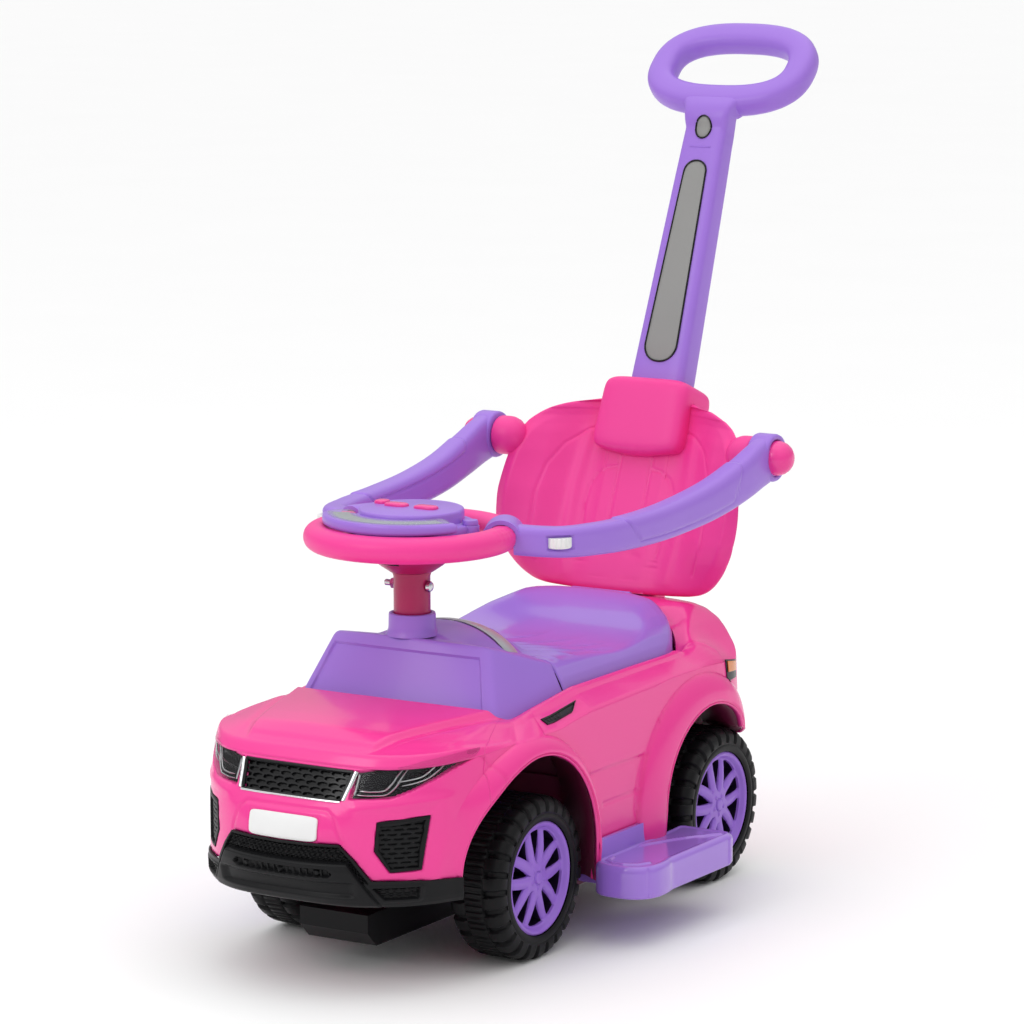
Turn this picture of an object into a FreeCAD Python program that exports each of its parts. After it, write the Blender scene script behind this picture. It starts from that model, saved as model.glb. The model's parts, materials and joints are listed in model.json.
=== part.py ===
import FreeCAD, Part
import Sketcher
import math
import os
import re
from FreeCAD import Placement, Rotation, Vector

os.makedirs("parts", exist_ok=True)
doc = FreeCAD.newDocument("push_car")
sheet = doc.addObject("Spreadsheet::Sheet", "sizes")

# Driving dimensions in millimetres; a station runs back from the front axle, a height up from the floor.
driving = {
    # whole car
    "overall_length": 889.0, "overall_width": 432.0, "overall_height": 838.0,
    "nose_overhang": 218.0, "wheel_base": 346.5,
    # fits
    "snug_gap": 0.1, "running_gap": 0.06, "play_gap": 0.4, "slot_gap": 0.45, "lid_gap": 0.6, "overrun": 6.0,
    # wheels
    "tyre_radius": 78.0, "tyre_width": 58.0, "wheel_face": 146.0, "rim_radius": 54.0, "rim_wall": 5.0,
    "rim_lip": 2.0, "tread_depth": 4.0, "tread_width": 4.5, "tread_reach": 17.0, "tread_count": 26.0,
    "spoke_pairs": 5.0,
    "shoulder_drop": 12.0, "shoulder_in": 8.0, "web_depth": 8.0, "web_set_back": 6.0,
    "hub_radius": 15.0, "hub_proud": 2.0, "axle_radius": 5.0, "axle_end_gap": 0.5, "hub_cover": 7.0,
    # steering knuckles and linkage
    "kingpin_offset": 72.0, "kingpin_radius": 5.0, "barrel_radius": 10.0, "barrel_low": 58.3,
    "barrel_high": 97.7,
    "collar_radius": 9.0, "collar_reach": 89.6, "arm_throw": 20.0, "arm_breadth": 12.0, "arm_low": 68.0,
    "arm_high": 76.0, "link_pin_radius": 3.0, "link_pin_low": 59.0, "rod_low": 60.0, "rod_high": 66.0,
    "rod_breadth": 14.0, "rod_overhang": 8.0, "slot_half": 5.0, "crank_throw": 16.0, "crank_low": 70.0,
    "crank_high": 77.0, "rod_radius": 6.0, "rod_foot": 48.0, "rod_top": 372.0,
    # axle block under the nose
    "block_half": 38.0, "block_front": -133.0, "block_back": 34.0, "block_low": 26.0, "block_high": 57.5,
    "ear_half": 82.0, "ear_breadth": 24.0, "ear_low": 48.0, "ear_high": 58.0, "block_slope": 14.0,
    # floor pan and storage tub
    "pan_wall": 3.0, "pan_half": 120.0, "pan_front": 102.0, "pan_back": 252.0, "pan_low": 45.0,
    "pan_high": 150.0,
    "beam_low": 98.0, "beam_high": 104.0, "beam_half": 84.0, "beam_breadth": 28.0, "spine_half": 48.0,
    "spine_front": -100.0, "leg_in": 24.0, "leg_out": 36.0, "leg_front": -70.0, "leg_back": -30.0,
    "rear_box_half": 80.0, "rear_box_back": 395.0, "rear_box_low": 64.0, "rear_box_high": 92.0,
    "carrier_radius": 12.0, "carrier_in": 60.0, "flange_front": 104.0, "flange_back": 204.0,
    "flange_low": 58.0,
    "flange_high": 62.0, "tub_half": 108.0, "tub_front": 108.0, "tub_back": 246.0, "tub_wall": 2.5,
    "tub_rim_low": 228.5, "tub_rim_high": 231.0, "tub_rim_half": 118.0, "tub_rim_front": 96.0,
    "tub_rim_back": 300.0,
    # body shell
    "body_length": 641.5, "body_half": 150.0, "deck_height": 276.0, "body_wall": 3.5, "sill_height": 58.0,
    "bumper_sill": 82.0, "tail_sill": 112.0, "sill_front": 40.0, "sill_back": 320.0, "arch_radius": 94.0,
    "arch_height": 98.0, "rear_arch_station": 303.0, "front_arch_station": -23.0,
    "front_arch_radius": 104.0,
    "arch_depth": 50.0, "flare_band": 27.0, "flare_edge": 8.0, "flare_reach": 161.0, "flare_root": 140.0,
    "wheel_room_in": 84.0, "wheel_room": 5.0,
    # front trim
    "bumper_proud": 1.5, "bumper_depth": 14.0, "bumper_back": -126.0, "trim_back": -96.0,
    "grille_set_back": 2.5,
    "grille_depth": 6.0, "lamp_set_back": 2.2, "lamp_depth": 7.0, "lens_depth": 2.0, "vent_set_back": 2.0,
    "vent_depth": 6.0, "plate_proud": 1.2,
    # cowl and dome
    "cowl_low": 226.0, "cowl_top": 293.0, "cowl_front": -30.0, "cowl_back": 91.0, "cowl_half": 120.0,
    "cowl_wall": 3.0, "cowl_rake": 0.503, "seam_station": 86.0,
    "column_station": 4.0, "collar_outer": 22.5, "collar_top": 317.0, "collar_low": 280.0,
    "column_radius": 17.5,
    "column_play": 0.5, "column_low": 300.0, "dome_station": 10.8, "dome_base": 239.0, "dome_half": 86.0,
    "dome_length": 137.0, "dome_rise": 63.5, "band_station": 72.0, "band_low": 267.0,
    "pommel_length": 105.0,
    # seat
    "seat_low": 231.4, "seat_back": 353.0, "seat_high": 286.5, "seat_half": 119.0, "seat_wall": 3.0,
    "hinge_station": 353.0, "hinge_height": 279.0, "hinge_barrel": 5.0, "hinge_half": 34.0,
    "hinge_ear": 7.0,
    "hinge_pin_radius": 2.0, "hinge_room": 1.2,
    # steering wheel, console and buttons
    "rim_height": 390.5, "grip_circle": 88.0, "grip_half_width": 14.0, "grip_half_height": 12.5,
    "bowl_low": 356.0, "bowl_foot": 21.0, "bowl_radius": 40.0, "bowl_high": 371.0, "hub_disc": 58.0,
    "hub_low": 380.0, "hub_high": 396.0, "spoke_breadth": 26.0, "bolt_radius": 3.0, "bolt_height": 343.0,
    "bolt_reach": 30.0, "bolt_head_radius": 5.0, "bolt_head": 4.0, "nut_reach": 18.2, "console_foot": 60.0,
    "console_step": 403.6, "console_top": 413.0, "console_radius": 84.0, "console_chord": 36.0,
    "disc_radius": 50.0,
    "disc_top": 417.0, "screen_radius": 79.0, "screen_chord": 43.0, "screen_thick": 2.5,
    "button_long": 24.0, "button_broad": 14.0, "button_proud": 3.0, "button_travel": 2.0,
    "button_sink": 6.0,
    "button_offset": 16.5, "side_button_offset": 38.0, "side_button_back": 8.0, "side_button_long": 13.0,
    "cap_offset": 58.0, "cap_back": 12.0, "cap_radius": 7.5, "cap_high": 408.5, "cap_ledge": 1.0,
    # backrest, headrest and handle
    "back_thick": 20.0, "back_half": 137.0, "back_low": 281.0, "back_high": 462.0, "back_lean": 0.49,
    "back_station": 371.0, "back_hollow": 36.0, "pivot_station": 402.0, "pivot_height": 424.6,
    "ear_radius": 20.0,
    "ear_in": 112.0, "boss_in": 151.0, "boss_out": 174.5, "boss_radius": 24.0, "pivot_radius": 8.0,
    "pivot_in": 128.0, "recess_radius": 18.5, "recess_depth": 10.5, "button_radius": 17.5,
    "button_face": 176.5,
    "button_crown": 15.0, "dome_travel": 4.0, "pivot_head": 0.8,
    "handle_lean": 22.0, "handle_station": 376.0, "shaft_foot": 42.0, "shaft_half": 31.0,
    "shaft_depth": 36.0,
    "shaft_straight": 230.0, "shaft_taper": 466.0, "neck_half": 25.0, "neck_depth": 30.0, "neck_end": 22.0,
    "loop_lean": 47.0, "loop_half": 95.0, "loop_reach": 60.0, "loop_hole_half": 65.0,
    "loop_hole_reach": 29.0,
    "loop_depth": 28.0, "loop_round": 9.0, "corner_round": 7.0, "head_half": 52.0, "head_proud": 20.0,
    "head_back": 9.0, "head_low": 147.0, "head_high": 225.0, "head_round": 12.0, "spine_low": 1.5,
    "spine_high": 146.5, "spine_side": 6.0, "spine_front_wall": 4.0, "label_low": 262.0,
    "label_high": 458.0,
    "label_low_half": 18.0, "label_high_half": 12.5, "label_thick": 0.8, "screw_radius": 4.0,
    "screw_length": 2.5, "screw_offset": 24.0,
    # guard arms
    "guard_drop": 387.0, "guard_breadth": 26.0, "guard_height": 36.0, "guard_round": 9.0,
    "cuff_angle": 27.0,
    "cuff_half": 17.0, "cuff_wall": 4.5, "cuff_play": 1.0, "cuff_skirt": 7.0, "guard_out": 166.0,
    "thumb_radius": 12.0, "thumb_height": 10.0, "thumb_gap": 0.6, "thumb_set": 4.0, "thumb_pin": 2.5,
    # foot trays
    "tray_front": 72.0, "tray_back": 252.0, "tray_in": 150.3, "tray_low": 48.0, "tray_high": 79.0,
    "tray_floor": 74.5, "root_high": 57.8, "tray_skin": 4.0, "tray_wall": 6.0, "tray_corner": 30.0,
    "tray_root": 120.1, "tray_root_front": 106.0,
    "tab_front": 90.0, "tab_back": 185.0, "tab_high": 97.0, "tab_thick": 4.0,
}
for row, (alias, value) in enumerate(driving.items(), 1):
    sheet.set(f"A{row}", alias)
    sheet.set(f"B{row}", str(value))
    sheet.setAlias(f"B{row}", alias)
doc.recompute()


class Named:
    """Reads a driving dimension from the sheet by its name."""

    def __getattr__(self, alias):
        return float(sheet.get(alias))


s = Named()
nodes = {}
turned = {"X": Rotation(Vector(0, 1, 0), 90), "Y": Rotation(Vector(1, 0, 0), -90), "Z": Rotation()}


def bound(text):
    """Turns names of driving dimensions into references to the sheet's cells."""
    return re.sub(r"[a-z]\w+", lambda word: "sizes." + word.group(0), text)


def back(station):
    """The Y expression of a station behind the front axle."""
    return f"(nose_overhang - overall_length / 2 + ({station}))"


def bind(thing, **texts):
    for prop, text in texts.items():
        thing.setExpression(prop.replace("__", "."), bound(text))
    return thing


def node(label, thing):
    thing.Label = label
    nodes[label] = thing
    return thing


def placed(thing, x, y, z, turn=Rotation()):
    thing.Placement = Placement(Vector(), turn)
    return bind(thing, Placement__Base__x=x, Placement__Base__y=back(y), Placement__Base__z=z)


def box(name, x, y, z):
    """A block between two X values, two stations and two heights, each a pair of expressions."""
    block = doc.addObject("Part::Box", name)
    bind(block, Length=f"({x[1]}) - ({x[0]})", Width=f"({y[1]}) - ({y[0]})", Height=f"({z[1]}) - ({z[0]})")
    return placed(block, x[0], y[0], z[0])


def rod(name, axis, radius, ends, middle):
    """A cylinder along X or Z between two ends, with its axis through the other two coordinates."""
    bar = doc.addObject("Part::Cylinder", name)
    bind(bar, Radius=radius, Height=f"({ends[1]}) - ({ends[0]})")
    spot = {"X": (ends[0], *middle), "Z": (*middle, ends[0])}[axis]
    return placed(bar, *spot, turn=turned[axis])


def fused(name, *parts):
    whole = doc.addObject("Part::MultiFuse", name)
    whole.Shapes = list(parts)
    return whole


def cut(name, base, *tools):
    whole = doc.addObject("Part::Cut", name)
    whole.Base = base
    whole.Tool = tools[0] if len(tools) == 1 else fused(name + "_cuts", *tools)
    return whole


def mirrored(label, source):
    other = doc.addObject("Part::Mirroring", label)
    other.Source = source
    other.Normal = Vector(1, 0, 0)
    return node(label, other)


def feature(label, shape):
    thing = doc.addObject("Part::Feature", label)
    thing.Shape = shape
    return node(label, thing)


def outline(body, role, loops, name, lift=None):
    """A sketch of closed polygons whose corners are pairs of expressions."""
    sketch = body.newObject("Sketcher::SketchObject", name)
    sketch.AttachmentSupport = [(next(o for o in body.Origin.OriginFeatures if o.Role == role), "")]
    sketch.MapMode = "FlatFace"
    for corners in loops:
        first, count = sketch.GeometryCount, len(corners)
        turns = [2 * math.pi * k / count for k in range(count)]
        spots = [Vector(math.cos(turn), math.sin(turn), 0) for turn in turns]
        for k in range(count):
            sketch.addGeometry(Part.LineSegment(spots[k], spots[(k + 1) % count]))
        for k in range(count):
            sketch.addConstraint(Sketcher.Constraint("Coincident", first + k, 2, first + (k + 1) % count,
                                                     1))
        for k, pair in enumerate(corners):
            for kind, text in zip(("DistanceX", "DistanceY"), pair):
                held = sketch.addConstraint(Sketcher.Constraint(kind, -1, 1, first + k, 1, 1.0))
                sketch.setExpression(f"Constraints[{held}]", bound(text))
    if lift:
        sketch.setExpression("AttachmentOffset.Base.z", bound(lift))
    return sketch


def revolved(name, corners, axis, role="XY_Plane"):
    body = doc.addObject("PartDesign::Body", name)
    profile = outline(body, role, [corners], name + "_profile")
    turn = body.newObject("PartDesign::Revolution", name + "_turn")
    turn.Profile = profile
    turn.ReferenceAxis = (profile, [axis])
    turn.Angle = 360
    doc.recompute()
    return body, profile


def padded(name, role, loops, length, lift=None):
    body = doc.addObject("PartDesign::Body", name)
    profile = outline(body, role, loops, name + "_outline", lift)
    pad = body.newObject("PartDesign::Pad", name + "_pad")
    pad.Profile = profile
    bind(pad, Length=length)
    doc.recompute()
    return body, pad


def share(pair, first, second):
    return f"{pair[0]} * {first}", f"{pair[1]} * {second}"


# Wheels: a lugged tyre on a five-spoke rim, the same at all four corners.
wide_window_shares = [(0.40, -0.13), (0.80, -0.29), (0.84, 0.0), (0.80, 0.29), (0.40, 0.13)]
shoulder_in_share, shoulder_drop_share = 0.33, 0.4
slot_shares = [(0.36, -0.30), (0.61, -0.53), (0.68, -0.50), (0.73, -0.43), (0.40, -0.24)]
wheel_middle = "wheel_face - tyre_width / 2"


def patterned(body, feature_, profile, count, name):
    ring = body.newObject("PartDesign::PolarPattern", name)
    ring.Originals = [feature_]
    ring.Axis = (profile, ["H_Axis"])
    ring.Angle = 360
    bind(ring, Occurrences=count)
    body.Tip = ring
    return ring


def pocketed(body, profile, depth, name, flip):
    hole = body.newObject("PartDesign::Pocket", name)
    hole.Profile = profile
    hole.Reversed = flip
    bind(hole, Length=depth)
    return hole


def tyre(label, station):
    half, top = "tyre_width / 2", "tyre_radius"
    bend = f"{half} - shoulder_in * {shoulder_in_share}"
    bend_height = f"{top} - shoulder_drop * {shoulder_drop_share}"
    body, profile = revolved(label, [
        (f"-{half}", "rim_radius"), (half, "rim_radius"), (half, f"{top} - shoulder_drop"),
        (bend, bend_height), (f"{half} - shoulder_in", top),
        (f"-{half} + shoulder_in", top), (f"-({bend})", bend_height),
        (f"-{half}", f"{top} - shoulder_drop")], "H_Axis")
    grooves = [[(f"{side} * ({half} - tread_reach)", "-tread_width / 2"),
                (f"{side} * ({half} + overrun)", "-tread_width / 2"),
                (f"{side} * ({half} + overrun)", "tread_width / 2"),
                (f"{side} * ({half} - tread_reach)", "tread_width / 2")]
               for side in (1, -1)]
    lines = outline(body, "XZ_Plane", grooves, label + "_groove_outline", lift="tyre_radius")
    groove = pocketed(body, lines, "tread_depth", label + "_groove", False)
    patterned(body, groove, profile, "tread_count", label + "_grooves")
    return node(label, placed(body, wheel_middle, station, "tyre_radius"))


def rim(label, station):
    half, outer, bore = "tyre_width / 2", "rim_radius - snug_gap", "axle_radius + running_gap"
    face, web = f"({half} - rim_lip)", f"({half} - web_set_back)"
    blind = f"{web} + hub_proud - hub_cover"
    body, profile = revolved(label, [
        (f"-{face}", bore), (blind, bore), (blind, "0"), (f"{web} + hub_proud", "0"),
        (f"{web} + hub_proud", "hub_radius"),
        (web, "hub_radius"), (web, f"{outer} - rim_wall"), (face, f"{outer} - rim_wall"), (face, outer),
        (f"-{face}", outer),
        (f"-{face}", f"{outer} - rim_wall"), (f"{web} - web_depth", f"{outer} - rim_wall"),
        (f"{web} - web_depth", "hub_radius"), (f"-{face}", "hub_radius")], "H_Axis")
    windows = [[share(pair, "rim_radius",
                      "rim_radius") for pair in shares] for shares in (wide_window_shares, slot_shares)]
    shapes = outline(body, "YZ_Plane", windows, label + "_window_outline", lift=f"{web} + overrun")
    window = pocketed(body, shapes, "web_depth + 2 * overrun", label + "_window", False)
    patterned(body, window, profile, "spoke_pairs", label + "_windows")
    return node(label, placed(body, wheel_middle, station, "tyre_radius"))


for end, station in (("front", "0"), ("rear", "wheel_base")):
    mirrored(f"tyre_{end}_right", tyre(f"tyre_{end}_left", station))
    mirrored(f"rim_{end}_right", rim(f"rim_{end}_left", station))

# Rear axle with a spacer beside each wheel.
axle_end = f"{wheel_middle} + tyre_width / 2 - web_set_back + hub_proud - hub_cover - axle_end_gap"
node("rear_axle", rod("rear_axle_bar", "X", "axle_radius", (f"-({axle_end})", axle_end),
                      ("wheel_base", "tyre_radius")))
spacers = []
for side, ends in (("left", ("rear_box_half", "collar_reach")),
                   ("right", ("-collar_reach", "-rear_box_half"))):
    ring = rod(f"spacer_{side}", "X", "collar_radius", ends, ("wheel_base", "tyre_radius"))
    hole = rod(f"spacer_{side}_hole", "X", "axle_radius", (f"{ends[0]} - overrun", f"{ends[1]} + overrun"),
               ("wheel_base", "tyre_radius"))
    spacers.append(cut(f"spacer_{side}_ring", ring, hole))
node("axle_spacers", fused("axle_spacer_pair", *spacers))

# Steering knuckles: barrel on the kingpin, stub axle, steering arm with its pin.
barrel = rod("barrel", "Z", "barrel_radius", ("barrel_low", "barrel_high"), ("kingpin_offset", "0"))
stub = rod("stub", "X", "axle_radius", ("kingpin_offset", axle_end), ("0", "tyre_radius"))
collar = rod("stub_collar", "X", "collar_radius", ("kingpin_offset", "collar_reach"), ("0", "tyre_radius"))
lever = box("steering_lever", ("kingpin_offset - arm_breadth / 2", "kingpin_offset + arm_breadth / 2"),
            ("0", "arm_throw + arm_breadth / 2"), ("arm_low", "arm_high"))
lever_pin = rod("lever_pin", "Z", "link_pin_radius", ("link_pin_low", "arm_low"),
                ("kingpin_offset", "arm_throw"))
barrel_bore = rod("barrel_bore", "Z", "kingpin_radius + running_gap",
                  ("barrel_low - overrun", "barrel_high + overrun"),
                  ("kingpin_offset", "0"))
knuckle = node("knuckle_left", cut("knuckle", fused("knuckle_solid", barrel, stub, collar, lever,
                                                    lever_pin), barrel_bore))
mirrored("knuckle_right", knuckle)
kingpin_ends = ("ear_low", "beam_high")
node("kingpins", fused("kingpin_pair", *[
    rod(f"kingpin_{name}", "Z", "kingpin_radius", kingpin_ends, (f"{side}kingpin_offset", "0"))
    for name, side in (("left", ""), ("right", "-"))]))

# Tie rod with a slot for each pin.
rod_half = "kingpin_offset + rod_overhang"
bar = box("tie_bar", (f"-({rod_half})", rod_half),
          ("arm_throw - rod_breadth / 2", "arm_throw + rod_breadth / 2"),
          ("rod_low", "rod_high"))
slots = []
for name, middle in (("left", "kingpin_offset"), ("middle", "0"), ("right", "-kingpin_offset")):
    reach = "(link_pin_radius + slot_gap)"
    slots.append(box(f"tie_slot_{name}", (f"{middle} - {reach}", f"{middle} + {reach}"),
                     ("arm_throw - slot_half", "arm_throw + slot_half"),
                     ("rod_low - overrun", "rod_high + overrun")))
node("tie_rod", cut("tie_bar_slotted", bar, *slots))

# Steering rod: a long steel bar with a crank near its foot.
shaft = rod("rod_shaft", "Z", "rod_radius", ("rod_foot", "rod_top"), ("0", "column_station"))
crank = box("rod_crank", ("-arm_breadth / 2", "arm_breadth / 2"),
            ("column_station", "column_station + crank_throw + arm_breadth / 2"),
            ("crank_low", "crank_high"))
crank_pin = rod("crank_pin", "Z", "link_pin_radius", ("link_pin_low", "crank_low"),
                ("0", "column_station + crank_throw"))
cross_hole = rod("rod_cross_hole", "X", "bolt_radius", ("-column_radius", "column_radius"),
                 ("column_station", "bolt_height"))
node("steering_rod", cut("rod_drilled", fused("rod_solid", shaft, crank, crank_pin), cross_hole))

# Axle block under the nose, with an ear below each knuckle.
block_body, block_pad = padded("block_core", "YZ_Plane", [[
    (back("block_front + block_slope"), "block_low"), (back("block_back"), "block_low"),
    (back("block_back"), "block_high"),
    (back("block_front"), "block_high"), (back("block_front"), "block_low + block_slope")]],
    "2 * block_half", lift="-block_half")
ears = box("block_ears", ("-ear_half", "ear_half"), ("-ear_breadth / 2", "ear_breadth / 2"),
           ("ear_low", "ear_high"))
ear_holes = [rod(f"ear_hole_{name}", "Z", "kingpin_radius", ("ear_low - overrun", "ear_high + overrun"),
                 (f"{side}kingpin_offset", "0"))
             for name, side in (("left", ""), ("right", "-"))]
foot_hole = rod("rod_foot_hole", "Z", "rod_radius + running_gap",
                ("rod_foot - running_gap", "block_high + overrun"), ("0", "column_station"))
node("front_axle_block", cut("block_drilled", fused("block_solid", block_body, ears), foot_hole,
                             *ear_holes))

# Floor pan: foot well between the wheels, spine and beam over the knuckles, box over the rear axle.
well = box("pan_well", ("-pan_half", "pan_half"), ("pan_front", "pan_back"), ("pan_low", "pan_high"))
well_room = box("pan_room", ("-pan_half + pan_wall", "pan_half - pan_wall"),
                ("pan_front + pan_wall", "pan_back - pan_wall"),
                ("pan_low + pan_wall", "pan_high + overrun"))
beam = box("pan_beam", ("-beam_half", "beam_half"), ("-beam_breadth / 2", "beam_breadth / 2"),
           ("beam_low", "beam_high"))
spine_plate = box("pan_spine", ("-spine_half", "spine_half"), ("spine_front", "pan_front"),
                  ("beam_low", "beam_high"))
legs = [box(f"pan_leg_{name}", ends, ("leg_front", "leg_back"), ("block_high", "beam_low"))
        for name, ends in (("left", ("leg_in", "leg_out")), ("right", ("-leg_out", "-leg_in")))]
rear_box = cut("pan_rear", box("pan_rear_block", ("-rear_box_half", "rear_box_half"),
                               ("pan_back", "rear_box_back"),
                               ("rear_box_low", "rear_box_high")),
               box("pan_rear_room", ("-rear_box_half + pan_wall", "rear_box_half - pan_wall"),
                   ("pan_back + pan_wall", "rear_box_back - pan_wall"),
                   ("rear_box_low - overrun", "rear_box_high - pan_wall")))
carriers = [rod(f"pan_carrier_{name}", "X", "carrier_radius", ends, ("wheel_base", "tyre_radius"))
            for name, ends in (("left", ("carrier_in", "rear_box_half")),
                               ("right", ("-rear_box_half", "-carrier_in")))]
flanges = [box(f"pan_flange_{name}", ends, ("flange_front", "flange_back"), ("flange_low", "flange_high"))
           for name, ends in (("left", ("pan_half", "body_half - body_wall - snug_gap")),
                              ("right", ("-body_half + body_wall + snug_gap", "-pan_half")))]
pan_holes = [rod(f"pan_hole_{name}", "Z", "kingpin_radius", ("beam_low - overrun", "beam_high + overrun"),
                 (f"{side}kingpin_offset", "0"))
             for name, side in (("left", ""), ("right", "-"))]
pan_holes.append(rod("pan_rod_hole", "Z", "rod_radius + running_gap",
                     ("beam_low - overrun", "beam_high + overrun"), ("0", "column_station")))
pan_holes.append(rod("pan_axle_hole", "X", "axle_radius", ("-body_half", "body_half"),
                     ("wheel_base", "tyre_radius")))
pan = fused("pan_solid", cut("pan_shell", well, well_room), beam, spine_plate, rear_box, *legs, *carriers,
            *flanges)
node("floor_pan", cut("pan_drilled", pan, *pan_holes))

# Storage tub under the seat, with a rim that the seat rests on.
tub_outer = box("tub_outer", ("-tub_half", "tub_half"), ("tub_front", "tub_back"),
                ("pan_low + pan_wall + snug_gap", "tub_rim_high"))
tub_rim = box("tub_rim", ("-tub_rim_half", "tub_rim_half"), ("tub_rim_front", "tub_rim_back"),
              ("tub_rim_low", "tub_rim_high"))
tub_room = box("tub_room", ("-tub_half + tub_wall", "tub_half - tub_wall"),
               ("tub_front + tub_wall", "tub_back - tub_wall"),
               ("pan_low + pan_wall + snug_gap + tub_wall", "tub_rim_high + overrun"))
node("storage_tub", cut("tub_hollow", fused("tub_solid", tub_outer, tub_rim), tub_room))

# Foot trays: a hollow rimmed platform outside each sill, on a root under the body, with a tab up its side.
tray_out = "overall_width / 2"
outer_round_share, inner_round_share, inner_run_share = 0.294, 0.333, 0.5


def tray_corners(inset_):
    front, rear, outer = f"tray_front + {inset_}", f"tray_back - {inset_}", f"{tray_out} - {inset_}"
    inner, bend = f"tray_in + {inset_}", f"tray_corner * {outer_round_share}"
    return [(inner, back(f"{front} + tray_corner * {inner_run_share}")),
            (f"{inner} + tray_corner * {inner_round_share}", back(front)),
            (f"{outer} - tray_corner", back(front)), (f"{outer} - {bend}", back(f"{front} + {bend}")),
            (outer, back(f"{front} + tray_corner")), (outer, back(f"{rear} - tray_corner")),
            (f"{outer} - {bend}", back(f"{rear} - {bend}")), (f"{outer} - tray_corner", back(rear)),
            (inner, back(rear))]


dish, dish_pad = padded("tray_dish", "XY_Plane", [tray_corners("0")], "tray_high - tray_low",
                        lift="tray_low")
well_lines = outline(dish, "XY_Plane", [tray_corners("tray_wall")], "tray_well_outline", lift="tray_high")
pocketed(dish, well_lines, "tray_high - tray_floor", "tray_well", False)
hollow_lines = outline(dish, "XY_Plane", [tray_corners("tray_wall")], "tray_hollow_outline",
                       lift="tray_low")
pocketed(dish, hollow_lines, "tray_floor - tray_skin - tray_low", "tray_hollow", True)
root = box("tray_root_plate", ("tray_root", "tray_in + tray_wall"), ("tray_root_front", "flange_back"),
           ("tray_low", "root_high"))
tab = box("tray_tab", ("tray_in", "tray_in + tab_thick"), ("tab_front", "tab_back"),
          ("tray_floor", "tab_high"))
mirrored("foot_tray_right", node("foot_tray_left", fused("tray_solid", dish, root, tab)))


# Freeform shells are worked out from outlines given as shares of the sizes that they follow.
def lay(station):
    return s.nose_overhang - s.overall_length / 2 + station


def moved_in(points, depth):
    """Moves every corner of a closed outline inwards by depth."""
    loop = list(zip(points, points[1:] + points[:1]))
    sense = 1 if sum(a[0] * b[1] - b[0] * a[1] for a, b in loop) > 0 else -1
    inward = []
    for a, b in loop:
        run = math.hypot(b[0] - a[0], b[1] - a[1])
        inward.append((-sense * (b[1] - a[1]) / run, sense * (b[0] - a[0]) / run))
    result = []
    for k, point in enumerate(points):
        one, two = inward[k - 1], inward[k]
        scale = depth / (1 + one[0] * two[0] + one[1] * two[1])
        result.append((point[0] + scale * (one[0] + two[0]), point[1] + scale * (one[1] + two[1])))
    return result


def run_edge(points):
    if len(points) == 2:
        return Part.LineSegment(*points).toShape()
    curve = Part.BSplineCurve()
    curve.interpolate(points)
    return curve.toShape()


def slab(runs, along):
    """Extrudes a closed outline, given as runs of points that are each a line or a smooth curve."""
    return Part.Face(Part.Wire([run_edge(points) for points in runs])).extrude(along)


def polygon_slab(points, along):
    return slab(list(zip(points, points[1:] + points[:1])), along)


def both_sides(half_points):
    """Closes a half outline, listed from the middle line outwards and back to it, with its mirror image."""
    return half_points + [(-a, b) for a, b in reversed(half_points) if a]


nose_shares = [(0.030, 0.297), (0.019, 0.33), (0.003, 0.435), (0.0, 0.518), (0.011, 0.609), (0.028, 0.663),
               (0.048, 0.757), (0.062, 0.793), (0.098, 0.822), (0.184, 0.842)]
belt_shares = [(0.292, 0.842), (0.790, 0.880)]
tail_shares = [(0.844, 0.928), (0.886, 0.978), (0.911, 1.0), (0.955, 0.996), (0.980, 0.935), (0.995, 0.833),
               (1.0, 0.688), (0.992, 0.507), (0.984, 0.406)]
plan_nose_shares = [(0.0, 0.0), (0.40, 0.017), (0.733, 0.073), (0.907, 0.148), (0.993, 0.230), (1.0, 0.292)]
plan_tail_shares = [(1.0, 0.852), (0.973, 0.914), (0.833, 0.964), (0.50, 0.992), (0.0, 1.0)]
section_shares = [(1.0, 0.0), (1.0, 0.81), (0.84, 0.877), (0.76, 0.935), (0.60, 1.03)]


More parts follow.
